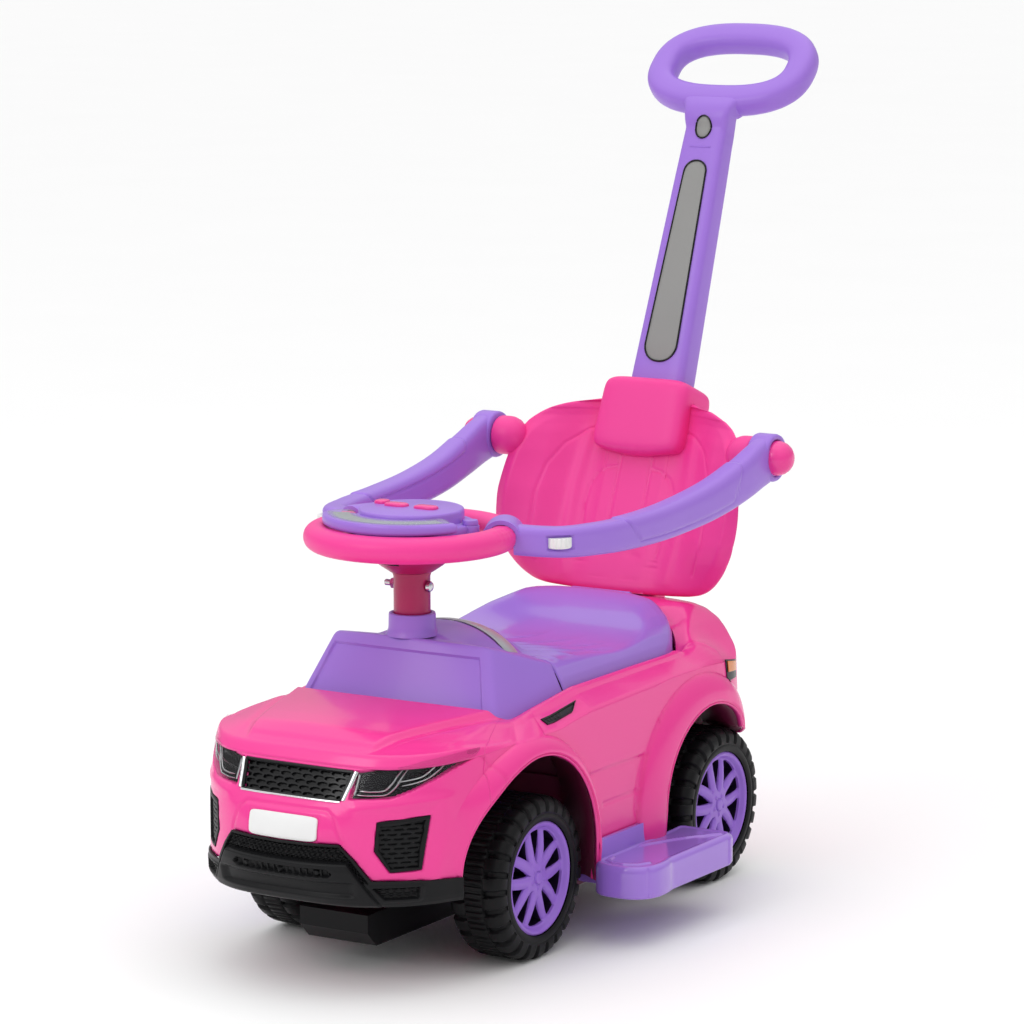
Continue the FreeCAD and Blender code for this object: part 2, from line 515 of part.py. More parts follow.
def body_hull(depth, stepped=False):
    """The body's outer form moved in by depth: side outline, plan outline and cross section in common."""
    front, low = lay(-s.nose_overhang) + s.bumper_proud, 0.0
    side = [(front + a * s.body_length,
             b * s.deck_height) for a, b in nose_shares + belt_shares + tail_shares]
    first, last = side[0], side[-1]
    side = moved_in(side + [(last[0], low), (first[0], low)], depth)[:len(side)]
    nose, tail = len(nose_shares), len(tail_shares)
    if stepped:
        under = [(side[-1][0], s.tail_sill), (lay(s.sill_back), s.tail_sill),
                 (lay(s.sill_back), s.sill_height),
                 (lay(s.sill_front), s.sill_height), (lay(s.sill_front), s.bumper_sill),
                 (side[0][0], s.bumper_sill)]
    else:
        under = [(side[-1][0], low), (side[0][0], low)]
    if abs(under[-1][1] - side[0][1]) < s.snug_gap:
        under = under[:-1]
    if abs(under[0][1] - side[-1][1]) < s.snug_gap:
        under = under[1:]
    wide = s.body_half + s.overrun
    corners = [side[-1]] + under + [side[0]]
    runs = [side[:nose], side[nose - 1:nose + 1], side[nose:nose + 2],
            side[nose + 1:]] + list(zip(corners, corners[1:]))
    profile = slab([[Vector(-wide, a, b) for a, b in points] for points in runs], Vector(2 * wide, 0, 0))
    half = [(a * s.body_half, front + b * s.body_length) for a, b in plan_nose_shares + plan_tail_shares]
    around = moved_in(both_sides(half), depth)
    bow, stern = len(plan_nose_shares), len(plan_tail_shares)
    right_bow = [around[0]] + around[:-bow:-1]
    plan_runs = [around[:bow], around[bow - 1:bow + 1], around[bow:bow + 2 * stern - 1],
                 around[bow + 2 * stern - 2:bow + 2 * stern], list(reversed(right_bow))]
    tall = Vector(0, 0, s.overall_height)
    plan = slab([[Vector(a, b, low) for a, b in points] for points in plan_runs], tall)
    section = both_sides([(a * (s.body_half - depth), b * s.deck_height - (depth if b else 0))
                          for a, b in section_shares])
    long_way = Vector(0, s.body_length + 2 * s.overrun - 2 * depth, 0)
    across = polygon_slab([Vector(a, front - s.overrun + depth, b) for a, b in section], long_way)
    return profile.common(plan).common(across)


def front_cut(shares, last_station):
    """A prism through the nose from a front outline in shares of half width and deck height."""
    start = lay(-s.nose_overhang) - 2 * s.overrun
    points = [Vector(a * s.body_half, start, b * s.deck_height) for a, b in shares]
    return polygon_slab(points, Vector(0, lay(last_station) - start, 0))


def side_cut(shares, low_x):
    """A prism through the left side from an outline in shares of body length and deck height."""
    front = lay(-s.nose_overhang)
    points = [Vector(low_x, front + a * s.body_length, b * s.deck_height) for a, b in shares]
    return polygon_slab(points, Vector(s.body_half, 0, 0))


def flip(shape):
    return shape.mirror(Vector(), Vector(1, 0, 0))


bumper_shares = [(-1.1, 0.217), (1.1, 0.217), (1.1, 0.384), (0.90, 0.384), (0.555, 0.397), (0.464, 0.471),
                 (0.40, 0.518),
                 (-0.40, 0.518), (-0.464, 0.471), (-0.555, 0.397), (-0.90, 0.384), (-1.1, 0.384)]
grille_shares = [(-0.367, 0.656), (0.367, 0.656), (0.40, 0.75), (-0.40, 0.75)]
lamp_shares = [(0.413, 0.67), (0.64, 0.67), (0.747, 0.692), (0.927, 0.775), (0.94, 0.808), (0.667, 0.775),
               (0.42, 0.75)]
plate_shares = [(-0.247, 0.525), (0.247, 0.525), (0.247, 0.601), (-0.247, 0.601)]
fog_shares = [(0.573, 0.496), (0.647, 0.424), (0.78, 0.428), (0.807, 0.605), (0.587, 0.591)]
side_vent_shares = [(0.318, 0.832), (0.338, 0.812), (0.432, 0.822), (0.455, 0.850)]
vent_inner_share = 0.86
tail_light_shares = [(0.886, 0.79), (0.915, 0.83), (0.93, 0.82), (0.93, 0.73)]

skin = {depth: body_hull(depth) for depth in sorted({
    0.0, s.body_wall, -s.bumper_proud, s.bumper_depth, s.grille_set_back, s.grille_depth, s.lamp_set_back,
    s.lamp_depth,
    s.lens_depth, s.vent_set_back, s.vent_depth, -s.plate_proud})}


def layer(outer, inner, region):
    return skin[outer].cut(skin[inner]).common(region)


bumper_region = front_cut(bumper_shares, s.bumper_back)
low_nose = Part.makeBox(4 * s.body_half, s.body_length, s.overall_height,
                        Vector(-2 * s.body_half, lay(-s.nose_overhang) - 2 * s.overrun, s.bumper_sill))
bumper = layer(-s.bumper_proud, s.bumper_depth, bumper_region).common(low_nose)
grille_region = front_cut(grille_shares, s.trim_back)
lamp_region = front_cut(lamp_shares, s.trim_back)
fog_region = front_cut(fog_shares, s.trim_back)
vent_region = side_cut(side_vent_shares, s.body_half * vent_inner_share)
tail_region = side_cut(tail_light_shares, s.body_half / 2)
feature("front_bumper", bumper)
feature("upper_grille", layer(s.grille_set_back, s.grille_depth, grille_region))
feature("number_plate", layer(-s.plate_proud, 0.0, front_cut(plate_shares, s.trim_back)))
pairs = (("headlight", layer(s.lamp_set_back, s.lamp_depth, lamp_region)),
         ("headlight_lens", layer(0.0, s.lens_depth, lamp_region)),
         ("fog_vent", layer(s.vent_set_back, s.vent_depth, fog_region)))
for label, shape in pairs:
    feature(label + "_left", shape)
    feature(label + "_right", flip(shape))
side_vent = layer(0.0, s.body_wall, vent_region)
tail_light = layer(0.0, s.body_wall, tail_region)
feature("side_vents", Part.makeCompound([side_vent, flip(side_vent)]))
feature("tail_lights", Part.makeCompound([tail_light, flip(tail_light)]))

# Cowl: windscreen block, dome with a silver band and steering collar, cut off behind on the seat's swing.
cowl_side_shares = [(-0.6, 0.0), (1.0, 0.0), (1.0, 0.63), (0.75, 0.71), (0.50, 0.85), (0.276, 1.0),
                    (0.1, 1.08), (-0.6, 1.08)]
cowl_plan_shares = [(0.0, -0.21), (0.5, -0.165), (0.80, -0.075), (0.933, 0.0), (1.0, 1.0), (1.0, 1.5)]
cowl_section_shares = [(1.0, 0.0), (1.0, 0.21), (0.875, 0.55), (0.737, 0.98), (0.40, 1.05), (0.0, 1.075)]


def raked(depth, low, high):
    """The cowl's plan with its bowed front, raked back as it rises."""
    long_ = s.cowl_back - s.cowl_front
    half = [(a * s.cowl_half, lay(s.cowl_front) + b * long_) for a, b in cowl_plan_shares]
    shift = s.cowl_rake * (low - s.cowl_low)
    points = [Vector(a, b + shift, low) for a, b in moved_in(both_sides(half), depth)]
    return polygon_slab(points, Vector(0, s.cowl_rake, 1) * (high - low))


def cowl_hull(depth, low):
    long_, tall = s.cowl_back - s.cowl_front, s.cowl_top - s.cowl_low
    side = moved_in([(lay(s.cowl_front) + a * long_, s.cowl_low + b * tall) for a, b in cowl_side_shares],
                    depth)
    side = [(a, b if part else low) for (a, b), (_, part) in zip(side, cowl_side_shares)]
    wide = s.cowl_half + s.overrun
    profile = polygon_slab([Vector(-wide, a, b) for a, b in side], Vector(2 * wide, 0, 0))
    half = [(a * s.cowl_half, s.cowl_low + b * tall) for a, b in cowl_section_shares]
    section = moved_in(both_sides(half), depth)
    section = [(a, low if k in (0, len(section) - 1) else b) for k, (a, b) in enumerate(section)]
    across = polygon_slab([Vector(a, lay(s.cowl_front) - long_, b) for a, b in section],
                          Vector(0, 3 * long_, 0))
    return profile.common(raked(depth, low, s.cowl_top + tall)).common(across)


def swing(gap):
    """The round that the seat's front edge sweeps about its hinge, grown by gap."""
    reach = s.hinge_station - s.seam_station - s.lid_gap + gap
    return Part.makeCylinder(reach, 4 * s.cowl_half,
                             Vector(-2 * s.cowl_half, lay(s.hinge_station), s.hinge_height),
                             Vector(1, 0, 0))


def half_ball(half, length, rise, station):
    """The upper half of an ellipsoid on the dome's base."""
    ball = Part.makeSphere(half)
    grow = FreeCAD.Matrix()
    grow.scale(1, length / half, rise / half)
    ball = ball.transformGeometry(grow)
    ball.translate(Vector(0, lay(station), s.dome_base))
    above = Part.makeBox(4 * half, 4 * length, 2 * rise,
                         Vector(-2 * half, lay(station) - 2 * length, s.dome_base))
    return ball.common(above)


def dome_solid(depth):
    ball = half_ball(s.dome_half - depth, s.dome_length - depth, s.dome_rise - depth, s.dome_station)
    return ball.common(raked(depth, s.dome_base, s.collar_top))


def upright(radius, low, high, station):
    return Part.makeCylinder(radius, high - low, Vector(0, lay(station), low))


behind = Part.makeBox(4 * s.dome_half, s.dome_length, 4 * s.dome_rise,
                      Vector(-2 * s.dome_half, lay(s.band_station), s.band_low))
band = dome_solid(0).common(behind).cut([dome_solid(s.cowl_wall), swing(s.lid_gap)])
cowl_outer = cowl_hull(0, s.cowl_low).fuse(dome_solid(0))
cowl_inner = cowl_hull(s.cowl_wall, s.cowl_low - s.overrun).fuse(dome_solid(s.cowl_wall))
collar_tube = upright(s.collar_outer, s.collar_low, s.collar_top, s.column_station)
bore = upright(s.column_radius + s.column_play, s.cowl_low, s.collar_top + s.overrun, s.column_station)
cowl = cowl_outer.cut(cowl_inner).fuse(collar_tube).cut([bore, band, swing(s.lid_gap)])
feature("cowl", max(cowl.Solids, key=lambda solid: solid.Volume))
feature("silver_band", band)

# Seat: a saddle with a raised back and a pommel behind the band, hollow below, hinged at its rear top edge.
seat_top_shares = [(0.0, 0.665), (0.11, 0.60), (0.42, 0.465), (0.63, 0.575), (0.80, 0.865), (0.91, 1.0),
                   (0.965, 0.94),
                   (0.992, 0.70)]
seat_plan_shares = [(1.0, 0.0), (1.0, 0.60), (0.97, 0.76), (0.84, 0.89), (0.55, 0.97), (0.0, 1.0)]
seat_section_shares = [(1.0, 0.0), (0.983, 0.175), (0.933, 0.483), (0.874, 0.61), (0.75, 0.68),
                       (0.62, 0.80), (0.46, 0.94),
                       (0.30, 1.05)]


def seat_hull(depth, low):
    front = lay(s.seam_station) + s.lid_gap
    long_, tall = s.seat_back - s.seam_station - s.lid_gap, s.seat_high - s.seat_low
    top = [(front + a * long_, s.seat_low + b * tall) for a, b in seat_top_shares]
    foot = [(front + long_, s.seat_low), (front, s.seat_low)]
    ring = moved_in(top + foot, depth)
    top = ring[:len(top)]
    ends = [top[-1], (ring[-2][0], low), (ring[-1][0], low), top[0]]
    wide = s.seat_half + s.overrun
    runs = [top] + list(zip(ends, ends[1:]))
    profile = slab([[Vector(-wide, a, b) for a, b in points] for points in runs], Vector(2 * wide, 0, 0))
    half = [(a * s.seat_half, front + b * long_) for a, b in seat_plan_shares]
    around = moved_in(both_sides(half), depth)
    count = len(around)
    plan = slab([[Vector(a, b, 0) for a, b in around[:2]],
                 [Vector(a, b, 0) for a, b in around[1:count - 1]],
                 [Vector(a, b, 0) for a, b in around[count - 2:]],
                 [Vector(a, b, 0) for a, b in (around[-1], around[0])]], Vector(0, 0, s.overall_height))
    section = moved_in(both_sides([(a * s.seat_half,
                                    s.seat_low + b * tall) for a, b in seat_section_shares]), depth)
    section = [(a, low if abs(b - s.seat_low) <= abs(depth) + s.snug_gap else b) for a, b in section]
    across = polygon_slab([Vector(a, front - s.overrun, b) for a, b in section],
                          Vector(0, long_ + 2 * s.overrun, 0))
    return profile.common(plan).common(across).common(swing(-depth))


def hinge_rod(radius, first, last):
    return Part.makeCylinder(radius, last - first, Vector(first, lay(s.hinge_station), s.hinge_height),
                             Vector(1, 0, 0))


def pommel(depth):
    """The seat's front hump, which carries on the dome's form behind the seam."""
    behind_dome = (s.seam_station - s.dome_station) / s.dome_length
    left = math.sqrt(1 - behind_dome ** 2)
    hump = half_ball(left * s.dome_half - depth, s.pommel_length - depth, left * s.dome_rise - depth,
                     s.seam_station)
    return hump.common(swing(-depth))


seat_outer = seat_hull(0, s.seat_low).fuse(pommel(0))
seat_skin = seat_outer.cut(seat_hull(s.seat_wall, s.seat_low - s.overrun).fuse(pommel(s.seat_wall)))
barrel_shape = hinge_rod(s.hinge_barrel, -s.hinge_half, s.hinge_half)
pin_reach = s.hinge_half + s.play_gap + s.hinge_ear
seat = seat_skin.fuse(barrel_shape)
for side in (-1, 1):
    first = s.hinge_half if side > 0 else -s.hinge_half - s.hinge_ear - 2 * s.play_gap
    seat = seat.cut(hinge_rod(s.hinge_barrel + s.hinge_room, first, first + s.hinge_ear + 2 * s.play_gap))
seat = seat.cut(hinge_rod(s.hinge_pin_radius + s.running_gap, -pin_reach, pin_reach))
feature("seat_lid", seat)
feature("seat_hinge_pin", hinge_rod(s.hinge_pin_radius, -pin_reach, pin_reach))

# Push handle: a leaning tapered shaft that ends in an oval loop.
lean = math.radians(s.handle_lean)
up_shaft = Vector(0, math.sin(lean), math.cos(lean))
into_shaft = Vector(0, math.cos(lean), -math.sin(lean))
shaft_root = Vector(0, lay(s.handle_station), s.deck_height)


def on_shaft(across, along, depth):
    return shaft_root + Vector(across, 0, 0) + up_shaft * along + into_shaft * depth


def rounded_ring(origin, right, down, half, depth, corner):
    """A rounded rectangle: half its width each way along right, and depth along down from its front face."""
    arc = corner * (1 - math.cos(math.radians(45)))
    spots = [(-half, corner), (-half + arc, arc), (-half + corner, 0.0), (half - corner, 0.0),
             (half - arc, arc),
             (half, corner), (half, depth - corner), (half - arc, depth - arc), (half - corner, depth),
             (-half + corner, depth), (-half + arc, depth - arc), (-half, depth - corner)]
    points = [origin + right * a + down * b for a, b in spots]
    edges = []
    for k in range(4):
        edges.append(Part.Arc(*points[3 * k:3 * k + 3]).toShape())
        edges.append(Part.LineSegment(points[3 * k + 2], points[(3 * k + 3) % 12]).toShape())
    return Part.Wire(edges)


def shaft_ring(along, half, depth, grow=0.0):
    origin = on_shaft(0, along, -grow)
    return rounded_ring(origin, Vector(1, 0, 0), into_shaft, half + grow, depth + 2 * grow, s.corner_round)


def straight_shaft(grow, low, high):
    return Part.makeLoft([shaft_ring(low, s.shaft_half, s.shaft_depth, grow),
                          shaft_ring(high, s.shaft_half, s.shaft_depth, grow)], True, True)


oval_count, oval_bend_share = 32, 0.78


def squared_oval(half, reach, height):
    """A closed curve between an ellipse and a rectangle."""
    spots = []
    for k in range(oval_count):
        over, up = math.cos(2 * math.pi * k / oval_count), math.sin(2 * math.pi * k / oval_count)
        spots.append(Vector(math.copysign(abs(over) ** oval_bend_share, over) * half,
                            math.copysign(abs(up) ** oval_bend_share, up) * reach, height))
    curve = Part.BSplineCurve()
    curve.interpolate(spots, PeriodicFlag=True)
    return Part.Wire(curve.toShape())


def oval_stack(half, reach, bevel):
    """A round-edged oval block: rings that grow by bevel between its faces and its middle."""
    levels = ((0.0, -bevel), (s.loop_round, 0.0), (s.loop_depth - s.loop_round, 0.0),
              (s.loop_depth, -bevel))
    return Part.makeLoft([squared_oval(half + grow, reach + grow, height) for height, grow in levels], True,
                         True)


loop = oval_stack(s.loop_half, s.loop_reach, s.loop_round).cut(oval_stack(s.loop_hole_half,
                                                                          s.loop_hole_reach, -s.loop_round))
loop.rotate(Vector(), Vector(1, 0, 0), 90 - s.loop_lean)
loop_tilt = math.radians(s.loop_lean)
up_loop = Vector(0, math.sin(loop_tilt), math.cos(loop_tilt))
into_loop = Vector(0, math.cos(loop_tilt), -math.sin(loop_tilt))
flat, edge_run = s.loop_depth / 2, s.loop_depth / 2 - s.loop_round
loop_spans = [max(s.loop_reach * up + edge_run * over, (s.loop_reach - s.loop_round) * up + flat * over)
              for up, over in ((math.sin(loop_tilt), math.cos(loop_tilt)),
                               (math.cos(loop_tilt), math.sin(loop_tilt)))]
loop_middle = Vector(0, s.overall_length / 2 - loop_spans[0], s.overall_height - loop_spans[1])
loop.translate(loop_middle + into_loop * flat)
rim_middle = (s.loop_reach + s.loop_hole_reach) / 2
neck_origin = loop_middle - up_loop * rim_middle - into_loop * (s.neck_depth / 2 - s.label_thick)
neck_ring = rounded_ring(neck_origin, Vector(1, 0, 0), into_loop, s.neck_end, s.loop_depth - s.label_thick,
                         s.corner_round)
taper = Part.makeLoft([shaft_ring(s.shaft_straight, s.shaft_half, s.shaft_depth),
                       shaft_ring(s.shaft_taper, s.neck_half, s.neck_depth)], True, True)
neck = Part.makeLoft([shaft_ring(s.shaft_taper, s.neck_half, s.neck_depth), neck_ring], True, True)
handle = straight_shaft(0.0, -s.shaft_foot, s.shaft_straight).fuse([taper, neck, loop])
feature("push_handle", handle)

label_low_shares = [(-1.0, 0.0), (-0.6, 0.8), (0.6, 0.8), (1.0, 0.0)]
label_high_shares = [(1.0, 1.0), (0.6, 0.2), (-0.6, 0.2), (-1.0, 1.0)]
label_points = [on_shaft(a * s.label_low_half, s.label_low - b * s.label_low_half,
                         0) for a, b in label_low_shares]
label_points += [on_shaft(a * s.label_high_half, s.label_high - b * s.label_high_half,
                          0) for a, b in label_high_shares]
feature("handle_label", polygon_slab(label_points, into_shaft * -s.label_thick))

# Backrest: a bucket shell with cylindrical ears, a headrest socket and a spine round the handle's shaft.
back_shares = [(0.0, 0.64, 0.39), (0.06, 0.86, 0.72), (0.19, 0.956, 0.92), (0.44, 1.0, 1.0),
               (0.685, 0.985, 1.0),
               (0.83, 0.905, 0.89), (0.93, 0.73, 0.67), (1.0, 0.44, 0.28)]
across_shares = (-1.0, -0.55, 0.0, 0.55, 1.0)


def back_ring(height_share, width_share, hollow_share):
    tall = s.back_high - s.back_low
    height = s.back_low + height_share * tall
    half, dip = width_share * s.back_half, hollow_share * s.back_hollow
    middle = lay(s.back_station) + s.back_lean * height_share * tall
    front = [Vector(a * half, middle - dip * a * a, height) for a in across_shares]
    rear = [point + Vector(0, s.back_thick, 0) for point in front]
    return Part.Wire([run_edge(front), run_edge([front[-1], rear[-1]]), run_edge(rear[::-1]),
                      run_edge([rear[0], front[0]])])


def cross_rod(radius, first, last):
    return Part.makeCylinder(radius, last - first, Vector(first, lay(s.pivot_station), s.pivot_height),
                             Vector(1, 0, 0))


def shaft_block(half, low, high, front, rear):
    points = [on_shaft(-half, low, front), on_shaft(half, low, front), on_shaft(half, low, rear),
              on_shaft(-half, low, rear)]
    return polygon_slab(points, up_shaft * (high - low))


bucket = Part.makeLoft([back_ring(*shares) for shares in back_shares], True, False)
ear = cross_rod(s.ear_radius, s.ear_in, s.boss_in - s.play_gap)
head_block = shaft_block(s.head_half, s.head_low, s.head_high, -s.head_proud, s.shaft_depth + s.head_back)
upright_share = 0.99
head_upright = [edge for edge in head_block.Edges
                if abs(edge.tangentAt(edge.FirstParameter).dot(up_shaft)) > upright_share]
head_block = head_block.makeFillet(s.head_round, head_upright)
shaft_hole = straight_shaft(s.snug_gap, -s.shaft_foot, s.shaft_straight + s.overrun)
headrest = head_block.cut(shaft_hole)
spine_half_width = s.shaft_half + s.spine_side
spine = shaft_block(spine_half_width, s.spine_low, s.spine_high, -s.spine_front_wall,
                    s.shaft_depth + s.spine_side)
spine = spine.cut([shaft_hole, body_hull(-s.snug_gap)])
spine_room = shaft_block(spine_half_width + s.snug_gap, s.spine_low - s.overrun, s.spine_high,
                         -s.spine_front_wall - s.snug_gap,
                         s.shaft_depth + s.spine_side + s.snug_gap + s.overrun)
head_room = shaft_block(s.head_half + s.snug_gap, s.spine_high, s.head_high + s.overrun,
                        -s.head_proud - s.snug_gap,
                        s.shaft_depth + s.head_back + s.overrun)
pivot_hole = cross_rod(s.pivot_radius, s.pivot_in, s.boss_out)
backrest = bucket.fuse([ear,
                        flip(ear)]).cut(spine_room.fuse(head_room)).cut(pivot_hole.fuse(flip(pivot_hole)))
feature("backrest", backrest)
feature("headrest", headrest)
feature("backrest_spine", spine)
pin_end = s.boss_out - s.recess_depth - s.pivot_head
pivot = cross_rod(s.pivot_radius, s.pivot_in, pin_end)
feature("arm_pivots", Part.makeCompound([pivot, flip(pivot)]))
screws = []
for along in (s.spine_low + s.screw_offset, s.spine_high - s.screw_offset):
    for side in (-1, 1):
        spot = on_shaft(side * s.shaft_half / 2, along, s.shaft_depth + s.spine_side)
        screws.append(Part.makeCylinder(s.screw_radius, s.screw_length, spot, into_shaft))
feature("backrest_screws", Part.makeCompound(screws))

# Body shell: hollow hull with flared arches, opened for the cowl, the seat and the front trim.
body = body_hull(0.0, stepped=True)


def lying(radius, first, last, station, height):
    return Part.makeCylinder(radius, last - first, Vector(first, lay(station), height), Vector(1, 0, 0))


flares, arches = [], []
for station, radius in ((s.front_arch_station, s.front_arch_radius), (s.rear_arch_station, s.arch_radius)):
    wide = radius + s.flare_band
    cone = Part.makeCone(wide, radius + s.flare_edge, s.flare_reach - s.flare_root,
                         Vector(s.flare_root, lay(station), s.arch_height), Vector(1, 0, 0))
    above = Part.makeBox(s.body_half, 2 * wide, wide,
                         Vector(s.flare_root, lay(station) - wide, s.arch_height))
    flare = cone.common(above)
    hole = lying(radius, s.body_half - s.arch_depth, s.flare_reach + s.overrun, station, s.arch_height)
    drop = Part.makeBox(s.arch_depth + s.flare_reach - s.body_half + s.overrun, 2 * radius, s.arch_height,
                        Vector(s.body_half - s.arch_depth, lay(station) - radius, 0))
    flares += [flare, flip(flare)]
    arches += [hole, flip(hole), drop, flip(drop)]
tail_gap = Part.makeBox(s.arch_depth + s.flare_reach - s.body_half + s.overrun, s.body_length,
                        s.arch_height,
                        Vector(s.body_half - s.arch_depth, lay(s.rear_arch_station), 0))
wheel_hole = lying(s.tyre_radius + s.wheel_room, s.wheel_room_in, s.flare_reach + s.overrun, s.wheel_base,
                   s.tyre_radius)
arches += [tail_gap, flip(tail_gap), wheel_hole, flip(wheel_hole)]
tail_limit = Part.makeBox(4 * s.body_half, s.body_length, s.overall_height,
                          Vector(-2 * s.body_half, lay(-s.nose_overhang), 0))
body = body.fuse(flares).common(tail_limit).cut(skin[s.body_wall]).cut(arches)
trims = [grille_region, lamp_region, flip(lamp_region), fog_region, flip(fog_region), vent_region,
         flip(vent_region),
         tail_region, flip(tail_region)]
body = body.cut(trims).cut(bumper_region)
body = body.cut([cowl_hull(-s.snug_gap, s.cowl_low - s.overrun),
                 seat_hull(-s.lid_gap, s.seat_low - s.overrun),
                 shaft_hole, hinge_rod(s.hinge_barrel + s.hinge_room, -s.hinge_half - s.play_gap,
                                       s.hinge_half + s.play_gap)])
for side in (-1, 1):
    first = s.hinge_half + s.play_gap if side > 0 else -s.hinge_half - s.play_gap - s.hinge_ear
    lug = hinge_rod(s.hinge_barrel, first, first + s.hinge_ear)
    post = Part.makeBox(s.hinge_ear, 2 * s.hinge_barrel, s.hinge_height - s.seat_low,
                        Vector(first, lay(s.hinge_station) + s.lid_gap + s.hinge_room, s.seat_low))
    body = body.fuse(post.cut(seat_hull(-s.lid_gap, s.seat_low - s.overrun)).fuse(lug))
body = body.cut(hinge_rod(s.hinge_pin_radius, -pin_reach, pin_reach))
feature("body_shell", body)

# Steering wheel: an oval-section rim on a hub with three spokes and a bowl below.
axis_spot = Vector(0, lay(s.column_station), 0)


def ring_section(grow):
    section = Part.Ellipse(Vector(), s.grip_half_width + grow, s.grip_half_height + grow).toShape()
    section.rotate(Vector(), Vector(1, 0, 0), 90)
    section.translate(axis_spot + Vector(s.grip_circle, 0, s.rim_height))
    return Part.Face(Part.Wire(section))


grip = ring_section(0.0).revolve(axis_spot, Vector(0, 0, 1), 360)
hub_profile = [(0.0, s.bowl_low), (s.bowl_foot, s.bowl_low), (s.bowl_radius, s.bowl_high),
               (s.bowl_radius, s.hub_low),
               (s.hub_disc, s.hub_low), (s.hub_disc, s.hub_high), (0.0, s.hub_high)]
hub_points = [axis_spot + Vector(a, 0, b) for a, b in hub_profile]
hub = Part.Face(Part.makePolygon(hub_points + hub_points[:1])).revolve(axis_spot, Vector(0, 0, 1), 360)
spokes = []
spoke_turns = (-139, -41, 90)
for turn in spoke_turns:
    spoke = Part.makeBox(s.grip_circle, s.spoke_breadth, s.hub_high - s.hub_low,
                         Vector(0, -s.spoke_breadth / 2, s.hub_low))
    spoke.rotate(Vector(), Vector(0, 0, 1), turn)
    spoke.translate(axis_spot)
    spokes.append(spoke)
rod_room = upright(s.rod_radius + s.snug_gap, s.bowl_low - s.overrun, s.rod_top + s.snug_gap,
                   s.column_station)
feature("steering_wheel", grip.fuse([hub] + spokes).cut(rod_room))

tube = rod("column_tube", "Z", "column_radius", ("column_low", "bowl_low - snug_gap"),
           ("0", "column_station"))
tube_bore = rod("column_bore", "Z", "rod_radius + snug_gap", ("column_low - overrun", "bowl_low + overrun"),
                ("0", "column_station"))
tube_cross = rod("column_cross", "X", "bolt_radius",
                 ("-column_radius - overrun", "column_radius + overrun"), ("column_station", "bolt_height"))
node("steering_column", cut("column_drilled", tube, tube_bore, tube_cross))
bolt = rod("bolt_shank", "X", "bolt_radius", ("-bolt_reach", "nut_reach"),
           ("column_station", "bolt_height"))
head = rod("bolt_head", "X", "bolt_head_radius", ("nut_reach", "nut_reach + bolt_head"),
           ("column_station", "bolt_height"))
nut = rod("bolt_nut", "X", "bolt_head_radius", ("-nut_reach - bolt_head", "-nut_reach"),
          ("column_station", "bolt_height"))
node("column_bolt", fused("bolt_solid", bolt, head, nut))

# Console on the hub: half-moon front, raised disc, display strip, three buttons and a round cap.
foot = rod("console_base", "Z", "console_foot", ("hub_high + snug_gap", "console_step"),
           ("0", "column_station"))
moon = rod("console_moon", "Z", "console_radius", ("console_step - snug_gap", "console_top"),
           ("0", "column_station"))
rear_half = box("console_rear", ("-2 * console_radius", "2 * console_radius"),
                ("column_station - console_chord", "column_station + 2 * console_radius"),
                ("console_step - overrun", "console_top + overrun"))
disc = rod("console_disc", "Z", "disc_radius", ("console_step - overrun", "disc_top"),
           ("0", "column_station"))
button_places = {"left": ("-side_button_offset", "side_button_back", "side_button_long"),
                 "middle": ("-button_offset", "0", "button_long"),
                 "right": ("button_offset", "0", "button_long")}
button_holes = []
for name, (x, y, long_) in button_places.items():
    ends = [f"{x} {sign} ({long_} / 2 + play_gap)" for sign in "-+"]
    sides = [f"column_station + {y} {sign} (button_broad / 2 + play_gap)" for sign in "-+"]
    button_holes.append(box(f"button_hole_{name}", ends, sides,
                            ("disc_top - button_sink", "disc_top + overrun")))
    ends = [f"{x} {sign} {long_} / 2" for sign in "-+"]
    sides = [f"column_station + {y} {sign} button_broad / 2" for sign in "-+"]
    node(f"console_button_{name}", box(f"button_{name}", ends, sides, (
        "disc_top - button_sink + button_travel + play_gap", "disc_top + button_proud")))
pad = rod("cap_pad", "Z", "cap_radius + cap_ledge", ("hub_high + snug_gap", "console_step"),
          ("cap_offset", "column_station + cap_back"))
console = fused("console_solid", foot, cut("console_front", moon, rear_half), disc, pad)
node("console", cut("console_holed", console, *button_holes))
strip = rod("screen_disc", "Z", "screen_radius", ("console_top", "console_top + screen_thick"),
            ("0", "column_station"))
strip_rear = box("screen_rear", ("-2 * console_radius", "2 * console_radius"),
                 ("column_station - screen_chord", "column_station + 2 * console_radius"),
                 ("console_top - overrun", "console_top + overrun"))
strip_hole = rod("screen_hole", "Z", "disc_radius + snug_gap",
                 ("console_top - overrun", "console_top + overrun"), ("0", "column_station"))
node("console_screen", cut("screen_strip", strip, strip_rear, strip_hole))
node("console_cap", rod("cap", "Z", "cap_radius", ("console_step", "cap_high"),
                        ("cap_offset", "column_station + cap_back")))

# Guard arms: an S-shaped bar from the pivot boss to an open cuff over the wheel rim.
guard_path_shares = [(0.985, 0.965, 0.93, 1.20, 1.02), (0.98, 0.877, 0.628, 1.10, 1.02),
                     (0.96, 0.753, 0.293, 1.0, 1.0),
                     (0.937, 0.601, 0.059, 0.94, 1.0), (0.912, 0.422, -0.061, 0.9, 1.0),
                     (0.856, 0.259, -0.058, 0.86, 0.98),
                     (0.757, 0.1535, -0.016, 0.84, 0.98), (0.545, 0.104, 0.04, 0.79, 0.98)]


